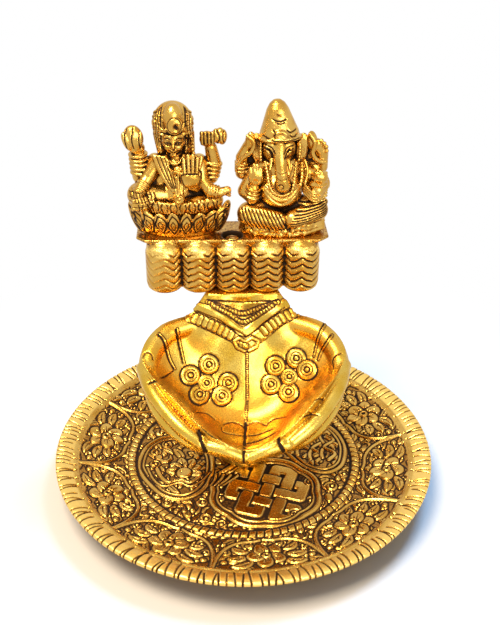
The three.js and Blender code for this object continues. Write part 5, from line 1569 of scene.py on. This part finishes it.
def elephant_face(field):
    """Slanted eyes, a trunk that hangs to a curl, tusks and ears with garlands."""
    for x, tilt in ((-4.4, 48), (2.0, -48)):
        field.ball((x, -5.7, 28.9), (1.9, 1.0, 0.95), (0, tilt, 0), 0.2, cut=True)
        field.ball((x, -5.2, 28.9), (1.6, 0.8, 0.6), (0, tilt, 0), 0.08)
    trunk = [(-0.8, -4.2, 30.0), (-0.7, -6.0, 27.0), (-0.4, -7.0, 23.6), (0.0, -7.3, 20.8), (0.4, -7.3, 18.6)]
    field.tube(trunk, (2.5, 2.2, 2.0, 2.1, 2.4), 0.5, 4)
    field.ring((-0.2, -9.2, 18.7), (0.85, 0.85), 0.3, (90, 0, 0))
    for side, reach in ((-1, 1.4), (1, 1.8)):
        tusk = [(-0.7 + side * 2.6, -4.6, 26.2), (-0.7 + side * 3.2, -6.2, 24.8 - reach)]
        field.limb(tusk, (0.75, 0.4), 0.25)
    for side in (-1, 1):
        x = -0.5 + side * 7.1
        field.ball((x, -0.2, 28.2), (2.1, 1.3, 5.4), (0, side * 6, 0), 0.3)
        field.ball((x + side * 0.1, -1.7, 28.4), (1.1, 0.8, 3.9), (0, side * 6, 0), 0.3, cut=True)
        line = [(x - side * 1.0, -1.8, 31.6), (x - side * 0.8, -2.1, 28.2), (x - side * 1.0, -2.2, 25)]
        field.garland(line, 0.55, 1.0)


def ganesha_back_arms(field):
    """Two raised arms: one with an axe on a cord, the other with a noose and beads."""
    field.limb([(-7.6, 1.2, 21.4), (-12.4, 1.4, 19.6), (-12.6, 0.8, 25), (-10.6, 0, 29.6)],
               (2.6, 2.3, 2.0, 1.6), 0.5)
    field.ball((-10.1, -0.6, 31.0), (1.6, 1.4, 3.1), (0, 8, 0), 0.25)
    cord = [(-10.9, -1.8, 33.0), (-8.9, -2.0, 31), (-9.6, -2.1, 28), (-12.2, -1.4, 25.6), (-13.9, -0.8, 23.0)]
    field.tube(cord, (0.65, 0.75), 0.15)
    bangles(field, (-12.6, 1.1, 20.8), (-12.7, 0.9, 23.2), 3, 2.3, 0.36)
    field.limb([(7.8, 1.2, 21.4), (13.2, 1.2, 21.6), (13.2, 0.8, 26.4), (11.4, 0, 29.8)],
               (2.6, 2.3, 2.2, 1.8), 0.5)
    field.ball((9.9, -0.8, 30.8), (1.7, 1.5, 3.6), (0, -10, 0), 0.25)
    noose = [(8.9, -2.0, 33.6), (10.5, -2.4, 30.8), (9.9, -2.4, 27.6), (11.6, -2.0, 24.8), (14.4, -1.0, 24.0)]
    field.tube(noose, (0.6, 0.8), 0.15)
    field.garland([(12.2, -1.2, 31.6), (14.2, -1.0, 29.4), (14.6, -1.0, 26.6)], 0.75, 1.35)
    field.ball((8.4, 0.2, 17.6), (3.4, 2.6, 4.6), blend=0.8)


def ganesha_front_arms(field):
    """A blessing hand, and a hand with a heap of sweets over folded cloth."""
    field.limb([(-8.2, -0.4, 20.4), (-11.6, -1.6, 14.4), (-9.4, -4.0, 13.0), (-8.9, -4.4, 16.6)],
               (2.6, 2.4, 2.1, 1.8), 0.5)
    field.ball((-8.4, -5.0, 20.4), (2.5, 1.4, 3.0), blend=0.25)
    for k, reach in enumerate((23.4, 24.6, 24.4, 23.2)):
        field.limb([(-10.2 + 1.15 * k, -5.5, 20.8), (-10.0 + 1.1 * k, -5.0, reach)], (0.72, 0.55), 0.1)
    field.ball((-8.4, -7.6, 19.2), (1.5, 1.6, 1.6), blend=0.3, cut=True)
    bangles(field, (-9.3, -4.1, 13.6), (-8.9, -4.4, 16.4), 3, 2.1, 0.42)

    field.limb([(8.4, -0.4, 20.6), (14.0, -1.2, 16.6), (11.8, -4.4, 15.6)], (2.7, 2.4, 2.3), 0.5)
    field.ball((12.0, -4.6, 18.0), (3.1, 2.0, 1.6), blend=0.3)
    field.ball(SWEET, (2.6, 2.3, 2.5), blend=0.2)
    rng = np.random.default_rng(9)
    for _ in range(26):
        way = rng.normal(0, 1, 3)
        field.ball(SWEET + way / np.linalg.norm(way) * (2.5, 2.2, 2.4), (0.5, 0.5, 0.5), blend=0.12)
    for k in range(4):
        sag = 0.95 * k
        field.tube([(7.4, -4.4, 17.6 - sag), (10.8, -6.4 + 0.15 * k, 15.2 - sag), (15.0, -3.6, 16.2 - sag)],
                   (0.42, 0.42), 0.12)


def ganesha_garlands(field):
    """Strings over the belly, garlands beside the trunk, and the navel."""
    for drop, thick in ((0.0, 0.45), (1.9, 0.5), (3.7, 0.45)):
        across = np.linspace(-6.2 + 0.3 * drop, 6.2 - 0.3 * drop, 13)
        z = 11.4 + drop + (5.6 - 0.5 * drop) * (np.abs(across) / 6.2) ** 1.8
        inside = 1 - (across / BELLY_RADII[0]) ** 2 - ((z - BELLY[2]) / BELLY_RADII[2]) ** 2
        y = BELLY[1] - BELLY_RADII[1] * np.sqrt(np.clip(inside, 0, 1)) - 0.1
        field.limb(np.stack([across, y, z], 1), (thick, thick), 0.12)
    field.garland([(-5.4, -3.6, 25.4), (-4.6, -5.0, 22), (-4.0, -6.6, 18.4), (-2.6, -7.4, 15.6)], 0.6, 1.05)
    field.garland([(4.6, -3.8, 25.4), (4.2, -5.4, 22), (3.8, -6.8, 18.6), (3.0, -7.4, 15.8)], 0.6, 1.05)
    field.garland([(6.6, -2.8, 24.8), (6.6, -4.6, 21), (6.0, -6.0, 17.8)], 0.62, 1.15)
    field.tube([(7.6, -2.4, 25), (8.4, -3.6, 21.6), (7.6, -4.8, 18)], (0.5, 0.5), 0.12)
    field.ball((0.1, -7.5, 11.9), (0.6, 0.4, 0.6), blend=0.1, cut=True)


def ganesha(field):
    for part in (rough_seat, ganesha_body, ganesha_crown, elephant_face, ganesha_back_arms,
                 ganesha_front_arms, ganesha_garlands):
        part(field)


# Engraving on the crown, brows, eyes and trunk: width, x and z of its points
GANESHA_LINES = [
    (0.42, [(-3.2, 38.9), (-1.2, 38.4), (1.0, 38.9)]), (0.3, [(-2.6, 38.1), (-1.1, 37.7), (0.6, 38.1)]),
    (0.4, [(-3.2, 36.0), (-2.6, 35.2), (-3.0, 34.2)]), (0.42, [(1.4, 35.9), (2.4, 35.2), (4.2, 35.6)]),
    (0.3, [(2.2, 34.4), (3.2, 33.8), (4.6, 34.2)]), (0.42, [(-6.2, 33.7), (-1.0, 32.8), (5.2, 33.2)]),
    (0.42, [(-6.0, 31.4), (-3.6, 30.6), (-2.6, 28.9)]), (0.42, [(4.0, 31.2), (1.5, 30.5), (0.5, 29.0)]),
    (0.45, [(-5.8, 30.2), (-4.2, 29.7), (-3.1, 27.6)]), (0.45, [(-5.8, 30.2), (-5.0, 28.3), (-3.1, 27.6)]),
    (0.45, [(3.5, 29.9), (1.9, 29.5), (0.6, 27.6)]), (0.45, [(3.5, 29.9), (2.7, 28.1), (0.6, 27.6)]),
    (0.34, [(-1.4, 19.0), (-0.7, 19.6), (0.2, 19.2), (0.3, 18.4), (-0.4, 18.1)]),
    (0.2, [(-1.9, 21.4), (-0.2, 20.8), (1.6, 21.4)]), (0.18, [(-1.8, 23.4), (-0.3, 22.9), (1.3, 23.4)]),
]


def ganesha_ornament(draw):
    """Engraving on the front: striped cloth over the legs and lines on the crown and face."""
    for k in range(11):
        x = -13.0 + 1.25 * k
        draw.engrave([(x, 9.8 - 0.12 * k), (x + 1.0, 6.6), (x + 2.9, 3.2 - 0.05 * k)], 0.42)
    for k in range(8):
        draw.engrave([(2.6 + 0.5 * k, 4.4 + 1.0 * k), (8.0, 4.6 + 0.95 * k), (12.5, 5.8 + 0.85 * k),
                      (16.4, 7.6 + 0.7 * k)], 0.44)
    for width, line in GANESHA_LINES:
        draw.engrave(line, width)
    # A soft dark patch on the crown, below its top
    draw.paint_patch(draw.dark, [(-1.6, 40.2), (-0.8, 40.0)], 1.0, 0.9, 0.4)


make_camera()
make_world()
floor = make_floor()

antique = cast_gold("antique_gold", (0.69, 0.42, 0.095), (0.55, 0.28, 0.04), 0.22, 0.45)
polished = cast_gold("polished_gold", (0.68, 0.45, 0.08), (0.62, 0.36, 0.035), 0.26, 0.35)
steel = cast_gold("zinc_steel", (0.6, 0.59, 0.56), (0.5, 0.49, 0.46), 0.35, 0.2)
make_plate(antique)
make_hands(polished)
make_throne(antique)
make_figure("lakshmi", LAKSHMI_X, lakshmi, lakshmi_ornament, antique)
make_figure("ganesha", GANESHA_X, ganesha, ganesha_ornament, antique)
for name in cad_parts:
    node = bpy.data.objects[name]
    node.data.materials.clear()
    node.data.materials.append(antique if name.startswith("throne") else steel)

# Two lamps light the part and two the floor, where warm sun and blue sky tint the shadows
part = [thing for thing in bpy.data.objects if thing.type == "MESH" and thing != floor]
add_lamp("key", (-0.28, -0.22, 0.8), 0.3, 10, (1, 0.95, 0.88), part)
add_lamp("front", (0.35, -0.75, 0.4), 0.45, 5.5, (1, 0.97, 0.92), part)
add_lamp("sun", (-0.3, -0.1, 0.85), 0.5, 12.8, (1, 0.82, 0.6), [floor])
add_lamp("sky", (0.28, 0.34, 0.72), 0.25, 7.2, (0.27, 0.57, 1), [floor])
bpy.context.scene.view_settings.view_transform = "Standard"
